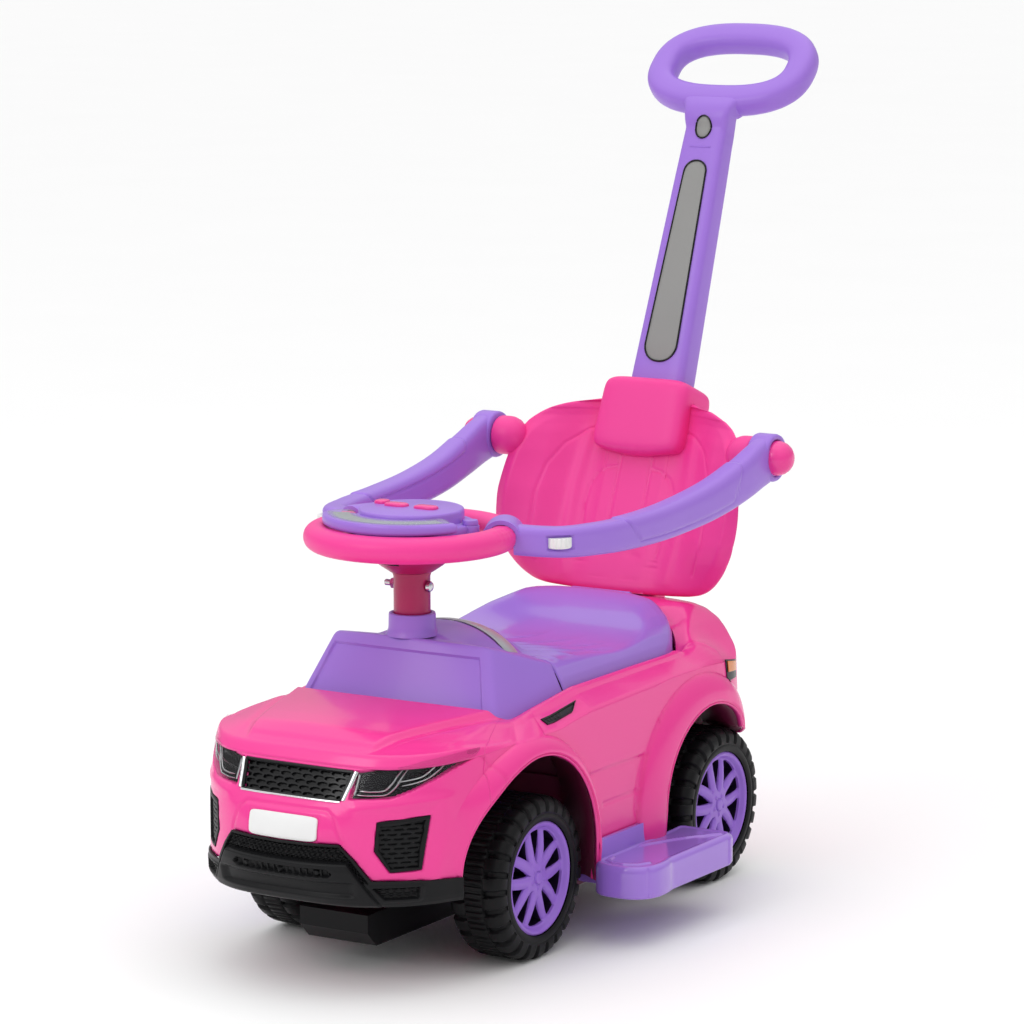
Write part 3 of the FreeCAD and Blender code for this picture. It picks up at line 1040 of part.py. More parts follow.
def guard_rings():
    spots = [Vector(a * s.guard_out, lay(b * s.pivot_station),
                    s.guard_drop + c * (s.pivot_height - s.guard_drop))
             for a, b, c, tall, wide in guard_path_shares]
    rings = []
    for k, spot in enumerate(spots):
        ahead, behind_ = spots[min(k + 1, len(spots) - 1)], spots[max(k - 1, 0)]
        along = (ahead - behind_).normalize()
        right = along.cross(Vector(0, 0, 1)).normalize()
        down = along.cross(right).normalize()
        tall, wide = guard_path_shares[k][3] * s.guard_height, guard_path_shares[k][4] * s.guard_breadth
        rings.append(rounded_ring(spot - down * (tall / 2), right, down, wide / 2, tall, s.guard_round))
    return rings


rim_room = ring_section(s.cuff_play).revolve(axis_spot, Vector(0, 0, 1), 360)
rim_reach = s.grip_half_width + s.cuff_play
below_rim = Part.makeCylinder(s.grip_circle + rim_reach, s.rim_height, axis_spot)
below_rim = below_rim.cut(Part.makeCylinder(s.grip_circle - rim_reach, s.rim_height, axis_spot))
cuff = ring_section(s.cuff_play + s.cuff_wall).revolve(axis_spot, Vector(0, 0, 1),
                                                       math.degrees(2 * s.cuff_half / s.grip_circle))
cuff.rotate(axis_spot, Vector(0, 0, 1), s.cuff_angle - math.degrees(s.cuff_half / s.grip_circle))
lower = Part.makeBox(4 * s.grip_circle, 4 * s.grip_circle, s.rim_height - s.cuff_skirt,
                     axis_spot - Vector(2 * s.grip_circle, 2 * s.grip_circle, 0))
guard = Part.makeLoft(guard_rings(), True, False)
boss = cross_rod(s.boss_radius, s.boss_in, s.boss_out)
recess = cross_rod(s.recess_radius, s.boss_out - s.recess_depth, s.boss_out + s.overrun)
pivot_bore = cross_rod(s.pivot_radius + s.running_gap, s.boss_in - s.overrun, s.boss_out)
inner_side = Part.makeBox(s.boss_in, s.overall_length, s.overall_height,
                          Vector(0, lay(s.pivot_station) - s.boss_radius - s.ear_radius, 0))
guard = guard.cut(inner_side).fuse([boss, cuff.cut(lower)]).cut([rim_room, below_rim, recess, pivot_bore])
thumb_shares = guard_path_shares[6]
thumb_spot = Vector(thumb_shares[0] * s.guard_out + s.thumb_set,
                    lay(thumb_shares[1] * s.pivot_station) - s.thumb_set,
                    s.guard_drop - s.thumb_height / 2)
thumb_room = Part.makeCylinder(s.thumb_radius + s.thumb_gap, s.thumb_height + 2 * s.thumb_gap,
                               thumb_spot - Vector(0, 0, s.thumb_gap))
thumb_pin = Part.makeCylinder(s.thumb_pin, s.thumb_height + 2 * s.thumb_gap,
                              thumb_spot - Vector(0, 0, s.thumb_gap))
guard = guard.cut(thumb_room).fuse(thumb_pin)
feature("guard_arm_left", guard)
feature("guard_arm_right", flip(guard))
thumb = Part.makeCylinder(s.thumb_radius, s.thumb_height, thumb_spot).cut(
    Part.makeCylinder(s.thumb_pin + s.running_gap, s.thumb_height, thumb_spot))
feature("thumbwheel_left", thumb)
feature("thumbwheel_right", flip(thumb))

crown_shares = [(1.0, 0.0), (0.87, 0.5), (0.5, 0.87), (0.0, 1.0)]
button_foot = "boss_out - recess_depth + dome_travel + play_gap"
crown = [(f"button_face + button_crown * {a}", f"button_radius * {b}") for a, b in crown_shares]
button_body, button_profile = revolved("arm_button", [
    (button_foot, "0"), *crown, (button_foot, "button_radius")], "H_Axis")
placed(button_body, "0", "pivot_station", "pivot_height")
mirrored("arm_button_right", node("arm_button_left", button_body))

doc.recompute()
faults = [thing.Label for thing in doc.Objects if {"Invalid", "Error"} & set(thing.State)]
for label, thing in nodes.items():
    if thing.Shape.isNull() or not thing.Shape.isValid() or not thing.Shape.Solids:
        faults.append(label)
if faults:
    raise RuntimeError("not built: " + ", ".join(faults))
for label, thing in nodes.items():
    thing.Shape.exportStep(f"parts/{label}.step")
print(len(nodes), "pieces written")
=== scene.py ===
import json
import math
import bmesh
import bpy
import numpy as np
from mathutils import Matrix, Vector


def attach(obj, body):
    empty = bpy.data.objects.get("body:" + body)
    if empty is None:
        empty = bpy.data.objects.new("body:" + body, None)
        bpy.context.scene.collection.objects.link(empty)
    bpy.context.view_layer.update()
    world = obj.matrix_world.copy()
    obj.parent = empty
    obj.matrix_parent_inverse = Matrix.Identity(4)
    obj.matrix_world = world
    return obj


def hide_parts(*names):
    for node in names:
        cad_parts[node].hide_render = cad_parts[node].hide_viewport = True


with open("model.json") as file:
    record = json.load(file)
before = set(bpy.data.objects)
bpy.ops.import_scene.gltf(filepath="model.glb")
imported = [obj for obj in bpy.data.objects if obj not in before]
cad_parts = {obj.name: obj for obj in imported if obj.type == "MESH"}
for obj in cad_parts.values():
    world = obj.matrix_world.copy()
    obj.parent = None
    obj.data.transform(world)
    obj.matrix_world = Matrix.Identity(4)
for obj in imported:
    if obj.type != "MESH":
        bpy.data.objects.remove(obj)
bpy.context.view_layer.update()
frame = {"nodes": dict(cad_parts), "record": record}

# Shapes are worked out in millimetres from the front axle: x to the car's left, y back, z up.
axleToMiddle, rearAxle, wheelRadius, wheelMiddleX = 226.5, 346.5, 78.0, 117.0
columnY, armPivot = 4.0, (402.0, 424.6)
print("frame loaded:", len(frame["nodes"]), "nodes")


# Shape helpers
def smoothStep(low, high, value):  # 3 t^2 - 2 t^3 between two limits
    t = np.clip((value - low) / (high - low), 0, 1)
    return t * t * (3 - 2 * t)


def softMax(a, b, k):  # k log(e^(a/k) + e^(b/k)), a maximum with a rounded corner
    return k * np.logaddexp(np.asarray(a) / k, np.asarray(b) / k)


def softMin(a, b, k):  # the same for a minimum
    return -softMax(-np.asarray(a), -np.asarray(b), k)


def unit(vectors):
    return vectors / np.maximum(np.linalg.norm(vectors, axis=-1, keepdims=True), 1e-9)


def knotsOf(points):  # share of the whole length at each point
    p = np.asarray(points, float)
    run = np.concatenate([[0], np.cumsum(np.linalg.norm(np.diff(p, axis=0), axis=1))])
    return run / run[-1]


def curveAt(points, t, knots=None):  # cubic Hermite curve through points, tangents by central differences
    p = np.asarray(points, float)
    if knots is None:
        knots = knotsOf(p)
    m = np.gradient(p, knots, axis=0)
    t = np.asarray(t, float)
    i = np.clip(np.searchsorted(knots, t, side="right") - 1, 0, len(p) - 2)
    h = (knots[i + 1] - knots[i])[..., None]
    u = ((t - knots[i]) / (knots[i + 1] - knots[i]))[..., None]
    return ((2 * u**3 - 3 * u**2 + 1) * p[i] + (u**3 - 2 * u**2 + u) * h * m[i]
            + (3 * u**2 - 2 * u**3) * p[i + 1] + (u**3 - u**2) * h * m[i + 1])


def blurAlong(grid, axis, rounds):  # repeated 1-2-1 averages along one direction, ends kept
    g = np.moveaxis(grid.copy(), axis, 0)
    for _ in range(rounds):
        g[1:-1] = 0.25 * g[:-2] + 0.5 * g[1:-1] + 0.25 * g[2:]
    return np.moveaxis(g, 0, axis)


def normalsOf(grid, wrapU=False, wrapV=False):  # cross product of the grid's two directions
    def slope(axis, wrap):
        if wrap:
            return np.roll(grid, -1, axis) - np.roll(grid, 1, axis)
        return np.gradient(grid, axis=axis)
    return unit(np.cross(slope(0, wrapU), slope(1, wrapV)))


def polygonReach(x, z, corners):  # signed distance to a polygon, negative inside
    best = np.full(np.shape(x), 1e9)
    inside = np.zeros(np.shape(x), bool)
    for (ax, az), (bx, bz) in zip(corners, corners[1:] + corners[:1]):
        ex, ez = bx - ax, bz - az
        t = np.clip(((x - ax) * ex + (z - az) * ez) / (ex * ex + ez * ez), 0, 1)
        best = np.minimum(best, np.hypot(x - ax - t * ex, z - az - t * ez))
        crosses = (az > z) != (bz > z)
        inside ^= crosses & (x < ax + (z - az) * ex / np.where(ez == 0, 1e-9, ez))
    return np.where(inside, -best, best)


def lineReach(x, z, points):  # distance to a polyline
    best = np.full(np.shape(x), 1e9)
    for (ax, az), (bx, bz) in zip(points, points[1:]):
        ex, ez = bx - ax, bz - az
        t = np.clip(((x - ax) * ex + (z - az) * ez) / (ex * ex + ez * ez), 0, 1)
        best = np.minimum(best, np.hypot(x - ax - t * ex, z - az - t * ez))
    return best


def ringSection(count, power):  # superellipse |x|^n + |y|^n = 1
    t = np.linspace(0, 2 * math.pi, count, endpoint=False)
    c, s = np.cos(t), np.sin(t)
    return np.sign(c) * np.abs(c) ** (2 / power), np.sign(s) * np.abs(s) ** (2 / power)


def sweep(path, across, up, halfWide, halfTall, count=32, power=4.0):
    # rounded section carried along a path: point = path + across a(t) w + up b(t) h
    a, b = ringSection(count, power)
    w = np.broadcast_to(halfWide, (len(path),))[:, None, None]
    h = np.broadcast_to(halfTall, (len(path),))[:, None, None]
    a, b = a[None, :, None], b[None, :, None]
    return path[:, None, :] + across[:, None, :] * a * w + up[:, None, :] * b * h


def tube(points, radius, count=10, closed=False):
    # round section carried along a line of points
    p = np.asarray(points, float)
    d = unit(np.roll(p, -1, 0) - np.roll(p, 1, 0) if closed else np.gradient(p, axis=0))
    ref = np.where(np.abs(d[:, 2:3]) > 0.95, np.array([[1.0, 0, 0]]), np.array([[0, 0, 1.0]]))
    a = unit(np.cross(d, ref))
    b = np.cross(a, d)
    t = np.linspace(0, 2 * math.pi, count, endpoint=False)
    r = np.broadcast_to(radius, (len(p),))[:, None, None]
    c, s = np.cos(t)[None, :, None], np.sin(t)[None, :, None]
    return p[:, None, :] + r * (a[:, None, :] * c + b[:, None, :] * s)


def closeEnds(grid):  # adds a collapsed ring at each end so that a tube is capped
    first, last = grid[:1].mean(1, keepdims=True), grid[-1:].mean(1, keepdims=True)
    ends = [np.broadcast_to(point, grid[:1].shape) for point in (first, last)]
    return np.concatenate([ends[0], grid, ends[1]])


def turned(profile, centre, axis="z", count=64):
    # (radius, height) profile turned about an axis through centre
    prof = np.asarray(profile, float)
    t = np.linspace(0, 2 * math.pi, count, endpoint=False)
    c, s = np.cos(t)[:, None] * prof[None, :, 0], np.sin(t)[:, None] * prof[None, :, 0]
    h = np.broadcast_to(prof[None, :, 1], c.shape)
    order = {"z": (c, s, h), "x": (h, c, s), "y": (s, h, c)}[axis]
    return np.stack(order, -1) + np.asarray(centre, float)


def facesOf(shape, wrapU, wrapV, start):  # four corners of every cell of a grid
    nu, nv = shape
    i, j = np.arange(nu if wrapU else nu - 1)[:, None], np.arange(nv if wrapV else nv - 1)[None, :]
    i2, j2 = (i + 1) % nu, (j + 1) % nv
    quads = np.stack([i * nv + j, i2 * nv + j, i2 * nv + j2, i * nv + j2], -1)
    return quads.reshape(-1, 4) + start


def openSheet(grid): return grid, False, False
def ringSheet(grid): return grid, True, False  # the rows close into a ring
def tubeSheet(grid): return grid, False, True  # each row is a ring
def loopSheet(grid): return grid, True, True


def mirror(grid):  # x turned round, and the rows too so that faces keep their side
    return grid[::-1] * np.array([-1.0, 1, 1])


bothSides = (("left", lambda grid: grid), ("right", mirror))


def makePiece(name, sheets, body, finish, standsFor=(), sharp=35, thick=0.0):
    # sheets are (grid, wrapU, wrapV); several make one mesh
    points, faces, count = [], [], 0
    for grid, wrapU, wrapV in sheets:
        faces.append(facesOf(grid.shape[:2], wrapU, wrapV, count))
        points.append(grid.reshape(-1, 3))
        count += grid.shape[0] * grid.shape[1]
    co = (np.concatenate(points) - np.array([0, axleToMiddle, 0])) / 1000
    mesh = bpy.data.meshes.new(name)
    mesh.from_pydata(co.tolist(), [], np.concatenate(faces).tolist())
    bm = bmesh.new()
    bm.from_mesh(mesh)
    bmesh.ops.remove_doubles(bm, verts=bm.verts, dist=2e-6)
    bmesh.ops.dissolve_degenerate(bm, edges=bm.edges, dist=1e-7)
    bmesh.ops.recalc_face_normals(bm, faces=bm.faces)
    bm.to_mesh(mesh)
    bm.free()
    mesh.shade_smooth()
    mesh.set_sharp_from_angle(angle=math.radians(sharp))
    mesh.materials.append(finish)
    piece = bpy.data.objects.new(name, mesh)
    bpy.context.scene.collection.objects.link(piece)
    if thick:
        wall = piece.modifiers.new("wall", "SOLIDIFY")
        wall.thickness = thick / 1000
        wall.offset = -1
    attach(piece, body)
    if standsFor:
        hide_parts(*standsFor)


# Finishes
class Ink:  # a socket that takes arithmetic
    def __init__(self, finish, socket):
        self.finish, self.socket = finish, socket

    def calc(self, operation, first, second):
        return self.finish.node("ShaderNodeMath", {"operation": operation}, {0: first, 1: second})

    def __add__(self, other): return self.calc("ADD", self, other)
    def __radd__(self, other): return self.calc("ADD", other, self)
    def __sub__(self, other): return self.calc("SUBTRACT", self, other)
    def __rsub__(self, other): return self.calc("SUBTRACT", other, self)
    def __mul__(self, other): return self.calc("MULTIPLY", self, other)
    def __rmul__(self, other): return self.calc("MULTIPLY", other, self)
    def above(self, other): return self.calc("GREATER_THAN", self, other)


class Finish:
    def __init__(self, name, **fixed):
        self.material = bpy.data.materials.new(name)
        self.material.use_nodes = True
        self.tree = self.material.node_tree
        self.shader = next(n for n in self.tree.nodes if n.type == "BSDF_PRINCIPLED")
        for socket, value in fixed.items():
            self.shader.inputs[socket.replace("_", " ")].default_value = value

    def node(self, kind, settings=None, values=None, out=0):
        made = self.tree.nodes.new(kind)
        for key, value in (settings or {}).items():
            setattr(made, key, value)
        for key, value in (values or {}).items():
            if isinstance(value, Ink):
                self.tree.links.new(value.socket, made.inputs[key])
            else:
                made.inputs[key].default_value = value
        return Ink(self, made.outputs[out])

    def place(self):
        return self.node("ShaderNodeTexCoord", out="Object")

    def noise(self, scale, detail=3.0, stretch=None):
        spot = self.place()
        if stretch:
            spot = self.node("ShaderNodeVectorMath", {"operation": "MULTIPLY"}, {0: spot, 1: stretch})
        return self.node("ShaderNodeTexNoise", None, {"Vector": spot, "Scale": scale, "Detail": detail})

    def blend(self, factor, one, two):
        # sockets 0, 6, 7 and 2 are the colour mix's factor, colours and result
        return self.node("ShaderNodeMix", {"data_type": "RGBA"}, {0: factor, 6: one, 7: two}, out=2)

    def feed(self, socket, ink):
        self.tree.links.new(ink.socket, self.shader.inputs[socket])

    def bump(self, height, distance, strength):
        sockets = {"Height": height, "Distance": distance, "Strength": strength}
        self.feed("Normal", self.node("ShaderNodeBump", None, sockets))


def tint(colour, scale):
    return (*[min(1.0, c * scale) for c in colour[:3]], 1.0)


def moulded(name, colour, rough, coat=0.0, peel=0.00003, grain=0.0, scuffs=0.015, spread=0.03, shine=0.35,
            recess=0.0, metal=0.0):
    # moulded plastic: slow tint drift, fine peel, faint rubbed streaks that change its gloss
    finish = Finish(name, Coat_Weight=coat, Coat_Roughness=0.08, IOR=1.5, Specular_IOR_Level=shine,
                    Metallic=metal)
    drift = finish.noise(9.0, 2.0)
    shade = finish.blend(drift, tint(colour, 1 - spread), tint(colour, 1 + spread))
    if recess:  # painted shade: near-black where a wheel's face lies deep, by |x| of the piece, in place of the shadow in its recesses
        across = finish.node("ShaderNodeSeparateXYZ", None, {0: finish.place()})
        deep = finish.node("ShaderNodeMath", {"operation": "ABSOLUTE"}, {0: across})
        shade = finish.blend(deep.above(recess), tint(colour, 0.03), shade)
    finish.feed("Base Color", shade)
    streaks = finish.noise(130.0, 4.0, (1.0, 0.25, 3.0))
    finish.feed("Roughness", rough + (streaks - 0.5) * scuffs + (drift - 0.5) * 0.04)
    height = finish.noise(420.0, 2.0)
    if grain:
        height = height * 0.4 + finish.noise(2600.0, 2.0) * (grain / peel)
    finish.bump(height, peel, 0.6)
    return finish.material


pinkColour, purpleColour = (0.86, 0.045, 0.30), (0.33, 0.165, 0.66)
glossPink = moulded("gloss_pink", pinkColour, 0.25, 0.2, peel=0.000008)
satinPink = moulded("satin_pink", pinkColour, 0.42, 0.0, grain=0.00002)
# painted shade: a darker pink for the hub and column, which stand in shadow under the steering wheel
paintedShadePink = moulded("painted_shade_pink", (0.40, 0.012, 0.10), 0.34, 0.1)
# painted shade: near-black pink that stands in for the shadow deep inside the wheel arches
wellShadePink = moulded("well_shade_pink", (0.10, 0.004, 0.03), 0.5)
satinPurple = moulded("satin_purple", purpleColour, 0.36, 0.08)
trayPurple = moulded("tray_purple", purpleColour, 0.16, 0.4, shine=0.5)
seatPurple = moulded("seat_purple", purpleColour, 0.24, 0.3, shine=0.5)
# painted shade: the rim's recesses and barrel are near-black below |x| = 136.5 mm
wheelShadePurple = moulded("wheel_purple_recess_shade", (0.30, 0.14, 0.62), 0.34, 0.1, recess=0.1365)
bumperBlack = moulded("bumper_black", (0.008, 0.008, 0.009), 0.38, 0.0, grain=0.00003, shine=0.16)
glossBlack = moulded("gloss_black", (0.005, 0.005, 0.006), 0.2, 0.1, shine=0.22)
tyreBlack = moulded("tyre_black", (0.007, 0.007, 0.008), 0.42, 0.0, grain=0.00004, scuffs=0.12, shine=0.15)
plainWhite = moulded("plain_white", (0.8, 0.8, 0.8), 0.35)
panelGrey = moulded("panel_grey", (0.27, 0.27, 0.26), 0.42, 0.0, grain=0.00004, spread=0.1)
silverPaint = moulded("silver_paint", (0.40, 0.45, 0.45), 0.3, 0.2, metal=0.2)
brightSteel = moulded("bright_steel", (0.62, 0.62, 0.64), 0.25, metal=1.0)
chromeTrim = moulded("chrome_trim", (0.75, 0.76, 0.78), 0.12, spread=0.02, metal=1.0)
amberLens = moulded("amber_lens", (0.70, 0.20, 0.02), 0.15, 0.5)


def clearPlastic(name, colour, amount):
    finish = Finish(name, IOR=1.4, Alpha=amount)
    haze = finish.noise(40.0, 2.0)
    finish.feed("Base Color", finish.blend(haze, tint(colour, 0.9), tint(colour, 1.1)))
    finish.feed("Roughness", 0.03 + haze * 0.02)
    return finish.material


lampLens = clearPlastic("lamp_lens", (0.03, 0.03, 0.035), 0.14)
screenLens = clearPlastic("screen_lens", (0.5, 0.52, 0.55), 0.22)
print("finishes made")

# Body skin: a plan outline carried round the car, with a nose profile behind its tip.
bodyShape = dict(noseTip=-218.0, flare=11.0, archHeight=98.0, wheelClear=84.0,
                 wheelAt=(rearAxle, wheelRadius))
archShapes = [dict(middle=-23.0, radius=104.0, outer=(-28.0, 98.0, 121.0),
                   legs=((-132.0, 92.0), (88.0, 58.0)), swing=18.0),
              dict(middle=303.0, radius=94.0, outer=(290.0, 100.0, 122.5),
                   legs=((207.0, 58.0), (397.5, 145.0)), swing=0.0)]
outerPlan = [(0, -218), (34, -214.5), (60, -207), (88, -191), (110, -171), (127, -146), (138, -118),
             (145.5, -88), (149, -62), (150, -30), (150, 60), (150, 200), (150, 300), (149.5, 335),
             (146, 368), (138, 389), (122, 404), (98, 414), (60, 422), (0, 425)]
innerPlan = [(0, -56.5), (30, -55), (52, -51), (76, -44.5), (95, -37.5), (107, -32.5), (113, -27),
             (114.5, -18), (115.5, -8), (116.5, 5), (120.3, 62), (120.3, 200), (118.5, 290), (113, 308),
             (98, 326), (82, 338), (62, 345), (42, 350), (22, 352.5), (0, 354)]
planKnots = knotsOf(outerPlan)
noseLine = np.array([(74, 22), (90, 12), (105, 6), (120, 2), (143, 0), (156, 2.5), (168, 7), (183, 16),
                     (196, 24.5), (206, 30), (212, 34), (240, 60)], float)
grilleCorners = [(-59, 206.5), (59, 206.5), (54, 181.5), (-54, 181.5)]
lampCorners = [(62, 184), (62, 207), (84, 211), (112, 216.5), (141.5, 223), (139.5, 214), (126, 201),
               (111, 191), (96, 184.5)]
fogCorners = [(86, 137), (97, 117), (117, 118), (122, 167), (88, 163.5)]
plateCorners = [(-38.5, 143.5), (38.5, 143.5), (38.5, 167), (-38.5, 167)]
bumperEdge = ([0, 58, 69.6, 83.3, 106, 135, 150], [143.2, 143.2, 130, 109.6, 109, 106, 105])


def planAt(s, plan):
    # s runs from the nose's middle, 0, to the tail's middle, 1, and is negative on the right
    p = curveAt(plan, np.abs(s), planKnots)
    return p * np.stack([np.where(s < 0, -1.0, 1.0), np.ones_like(s)], -1)


sDense = np.linspace(0, 1, 4001)
planDense = curveAt(outerPlan, sDense, planKnots)
frontCount = int(np.argmax(planDense[:, 0] >= 149.9))


def sOfX(x):  # place on the nose half of the plan at a given x
    return np.sign(x) * np.interp(np.abs(x), planDense[:frontCount, 0], sDense[:frontCount])


def sOfY(y):  # place on the left side at a given y
    return np.interp(y, planDense[:, 1], sDense)


def noseBack(z):  # how far the nose lies behind its tip at a height
    return np.interp(z, noseLine[:, 0], noseLine[:, 1])


def tailFront(z):  # how far the tail lies ahead of its end at a height
    return np.interp(z, [58, 112, 140, 190, 230, 258], [14, 10, 5, 0, 3, 13])


def flareAt(y, z):  # share of a flare: d2 / (d1 + d2), 0 on its outer arc and 1 at the opening
    best = np.zeros(np.broadcast(y, z).shape)
    for arch in archShapes:
        middleY, middleZ, reach = arch["outer"]
        inner = np.hypot(y - arch["middle"], np.maximum(z - bodyShape["archHeight"], 0)) - arch["radius"]
        outer = np.maximum(reach - np.hypot(y - middleY, np.maximum(z - middleZ, 0)), 0)
        best = np.maximum(best, outer / np.maximum(np.maximum(inner, 0) + outer, 1e-6))
    return best


def skinAt(s, z):
    # y = tip + sqrt(plan^2 + nose^2) at the front, drawn in at the tail; x swells by flare sin(pi t / 2)^0.6
    p = planAt(s, outerPlan)
    x, y = p[..., 0], p[..., 1]
    ahead = y - bodyShape["noseTip"]
    y = y + (1 - smoothStep(-120, -20, y)) * (np.hypot(noseBack(z), ahead) - ahead)
    y = y - smoothStep(330, 400, y) * tailFront(z)
    t = flareAt(y, z)
    swell = bodyShape["flare"] * np.sin(0.5 * math.pi * t) ** 0.6 - 1.5 * smoothStep(0.9, 1.0, t)
    side = smoothStep(-140, -85, y) * (1 - smoothStep(404, 418, y))
    x = np.sign(x) * (np.abs(x) + side * (swell - 3.0 * smoothStep(92, 60, z)))
    return np.stack([x, y, z + 0 * x], -1)


def outwardOf(grid):  # normals of a grid, turned away from the car's middle
    n = normalsOf(grid)
    return n * np.where(n[..., :1] * grid[..., :1] + n[..., 1:2] * (grid[..., 1:2] - 100) < 0, -1.0, 1.0)


def onNose(x, z, lift):  # point on the nose at x and z, lifted along its outward normal
    e = 0.5
    s = sOfX(x)
    here = skinAt(s, z)
    du = skinAt(sOfX(x + e), z) - skinAt(sOfX(x - e), z)
    dv = skinAt(s, z + e) - skinAt(s, z - e)
    n = unit(np.cross(du, dv))
    n *= np.where(n[..., 1:2] > 0, -1.0, 1.0)
    return here + n * np.asarray(lift)[..., None]


def flipCorners(corners):  # the same outline on the right side
    return [(-x, z) for x, z in reversed(corners)]


sideCuts = np.array([-134, -132, -129.5, -127, -126.5, -125, -121, -114, 68, 75, 79, 80.5, 81, 82.5, 84.5,
                     86.5, 88, 89, 92, 205, 206.5, 207, 208, 209, 209.5, 211, 215, 222, 380, 388, 394, 396,
                     397, 397.6, 399, 402.0])
noseEnd, tailStart = sOfY(np.array(-100.0)), sOfY(np.array(400.0))
halfS = np.unique(np.concatenate([np.linspace(0, noseEnd, 150), np.linspace(noseEnd, tailStart, 290),
                                  np.linspace(tailStart, 1, 40), sOfY(sideCuts)]))
allS = np.concatenate([-halfS[:0:-1], halfS])
noseCut = [int(np.argmin(np.abs(allS + noseEnd))), int(np.argmin(np.abs(allS - noseEnd)))]


def lowEdge(y):  # bottom of the wall: behind the bumper, over the arches, along the sill and under the tail
    edge = np.interp(y, [-300, -132, -127, 81, 88, 207, 209, 397, 397.6, 500],
                     [92, 92, 98, 98, 58, 58, 98, 98, 112, 112])
    for arch in archShapes:
        inside = 1 - ((y - arch["middle"]) / arch["radius"]) ** 2
        arc = bodyShape["archHeight"] + arch["radius"] * np.sqrt(np.clip(inside, 0, None))
        edge = np.where(inside > 0, arc, edge)
    wheelY, wheelZ = bodyShape["wheelAt"]
    clear = wheelZ + np.sqrt(np.clip(bodyShape["wheelClear"] ** 2 - (y - wheelY) ** 2, 0, None))
    return np.where(y > 300, np.maximum(edge, clear), edge)


def topEdge(y):  # where the wall turns into the hood, the shoulder or the tail
    return np.interp(y, [-220, -190, -150, -100, -60, 25, 84, 212, 240, 300, 360, 425],
                     [209.5, 209.5, 211, 214, 217, 216, 223.5, 227, 228.5, 228, 224, 220])


def wallGrid():  # the skin from its low edge to its top edge, pushed in at trims, seams and panels
    p = planAt(allS, outerPlan)
    low, high = lowEdge(p[:, 1]), topEdge(p[:, 1])
    z = low[:, None] + (high - low)[:, None] * np.linspace(0, 1, 84)[None, :]
    grid = skinAt(np.broadcast_to(allS[:, None], z.shape), z)
    x, y = grid[..., 0], grid[..., 1]
    nose = 1 - smoothStep(-100, -90, y)
    push = -9.0 * smoothStep(-0.5, 3, np.interp(np.abs(x), *bumperEdge) - z) * (1 - smoothStep(-134, -126, y))
    for corners, depth in ((grilleCorners, 5.0), (lampCorners, 5.0), (flipCorners(lampCorners), 5.0),
                           (fogCorners, 5.0), (flipCorners(fogCorners), 5.0), (plateCorners, 1.2)):
        push -= nose * depth * smoothStep(0.9, -0.9, polygonReach(x, z, corners))
    crease = lineReach(np.abs(x), z, [(0, 172.5), (44, 172.5), (52, 166), (60, 146)])
    brow = lineReach(np.abs(x), z, [(70, 176), (128, 181), (132, 150), (124, 108)])
    push += nose * (1.6 * np.exp(-(brow / 5.0) ** 2) - 1.3 * np.exp(-(crease / 1.5) ** 2))
    # seam from lamp to arch
    push -= 1.1 * np.exp(-(lineReach(y, z, [(-107, 222), (-93, 208), (-80, 190)]) / 1.3) ** 2)
    flank = (1 - smoothStep(0, 0.08, flareAt(y, z))) * smoothStep(50, 70, y) * (1 - smoothStep(225, 240, y))
    for line in ([(80, 162), (187, 162)], [(107, 128), (190, 128)], [(190.6, 161), (190.6, 100)]):
        push -= flank * 1.0 * np.exp(-(lineReach(y, z, line) / 1.4) ** 2)
    push -= flank * 1.5 * smoothStep(163.5, 160.5, z) * smoothStep(192.0, 189.0, y)  # door panel set in
    return grid + outwardOf(grid) * push[..., None]


def archReturn(arch):  # strip that turns in from an arch's edge: rows at growing depth behind the edge
    phi = np.linspace(0, math.pi, 120)
    y = arch["middle"] - (arch["radius"] - 0.05) * np.cos(phi)
    y = np.concatenate([[arch["legs"][0][0]], y, [arch["legs"][1][0]]])
    z = np.concatenate([[arch["legs"][0][1]], lowEdge(y[1:-1]), [arch["legs"][1][1]]])
    edge = skinAt(sOfY(y), z)
    away = unit(np.stack([0 * y, y - arch["middle"], np.maximum(z - bodyShape["archHeight"], 0)], -1))
    inset, grow = np.array([0.0, 1.5, 5.0, 24.0, 48.0]), np.array([0.0, -0.8, -0.6, 1.2, 1.5])
    # room behind the arch for a tyre that steers
    room = arch["swing"] * smoothStep(0.4, 0.8, (y - arch["middle"]) / arch["radius"])
    grow = grow[None, :] + room[:, None] * np.array([0.0, 0.0, 0.15, 0.8, 1.0])
    inwards = np.array([-1.0, 0, 0]) * inset[None, :, None]
    return edge[:, None, :] + inwards + away[:, None, :] * grow[..., None]


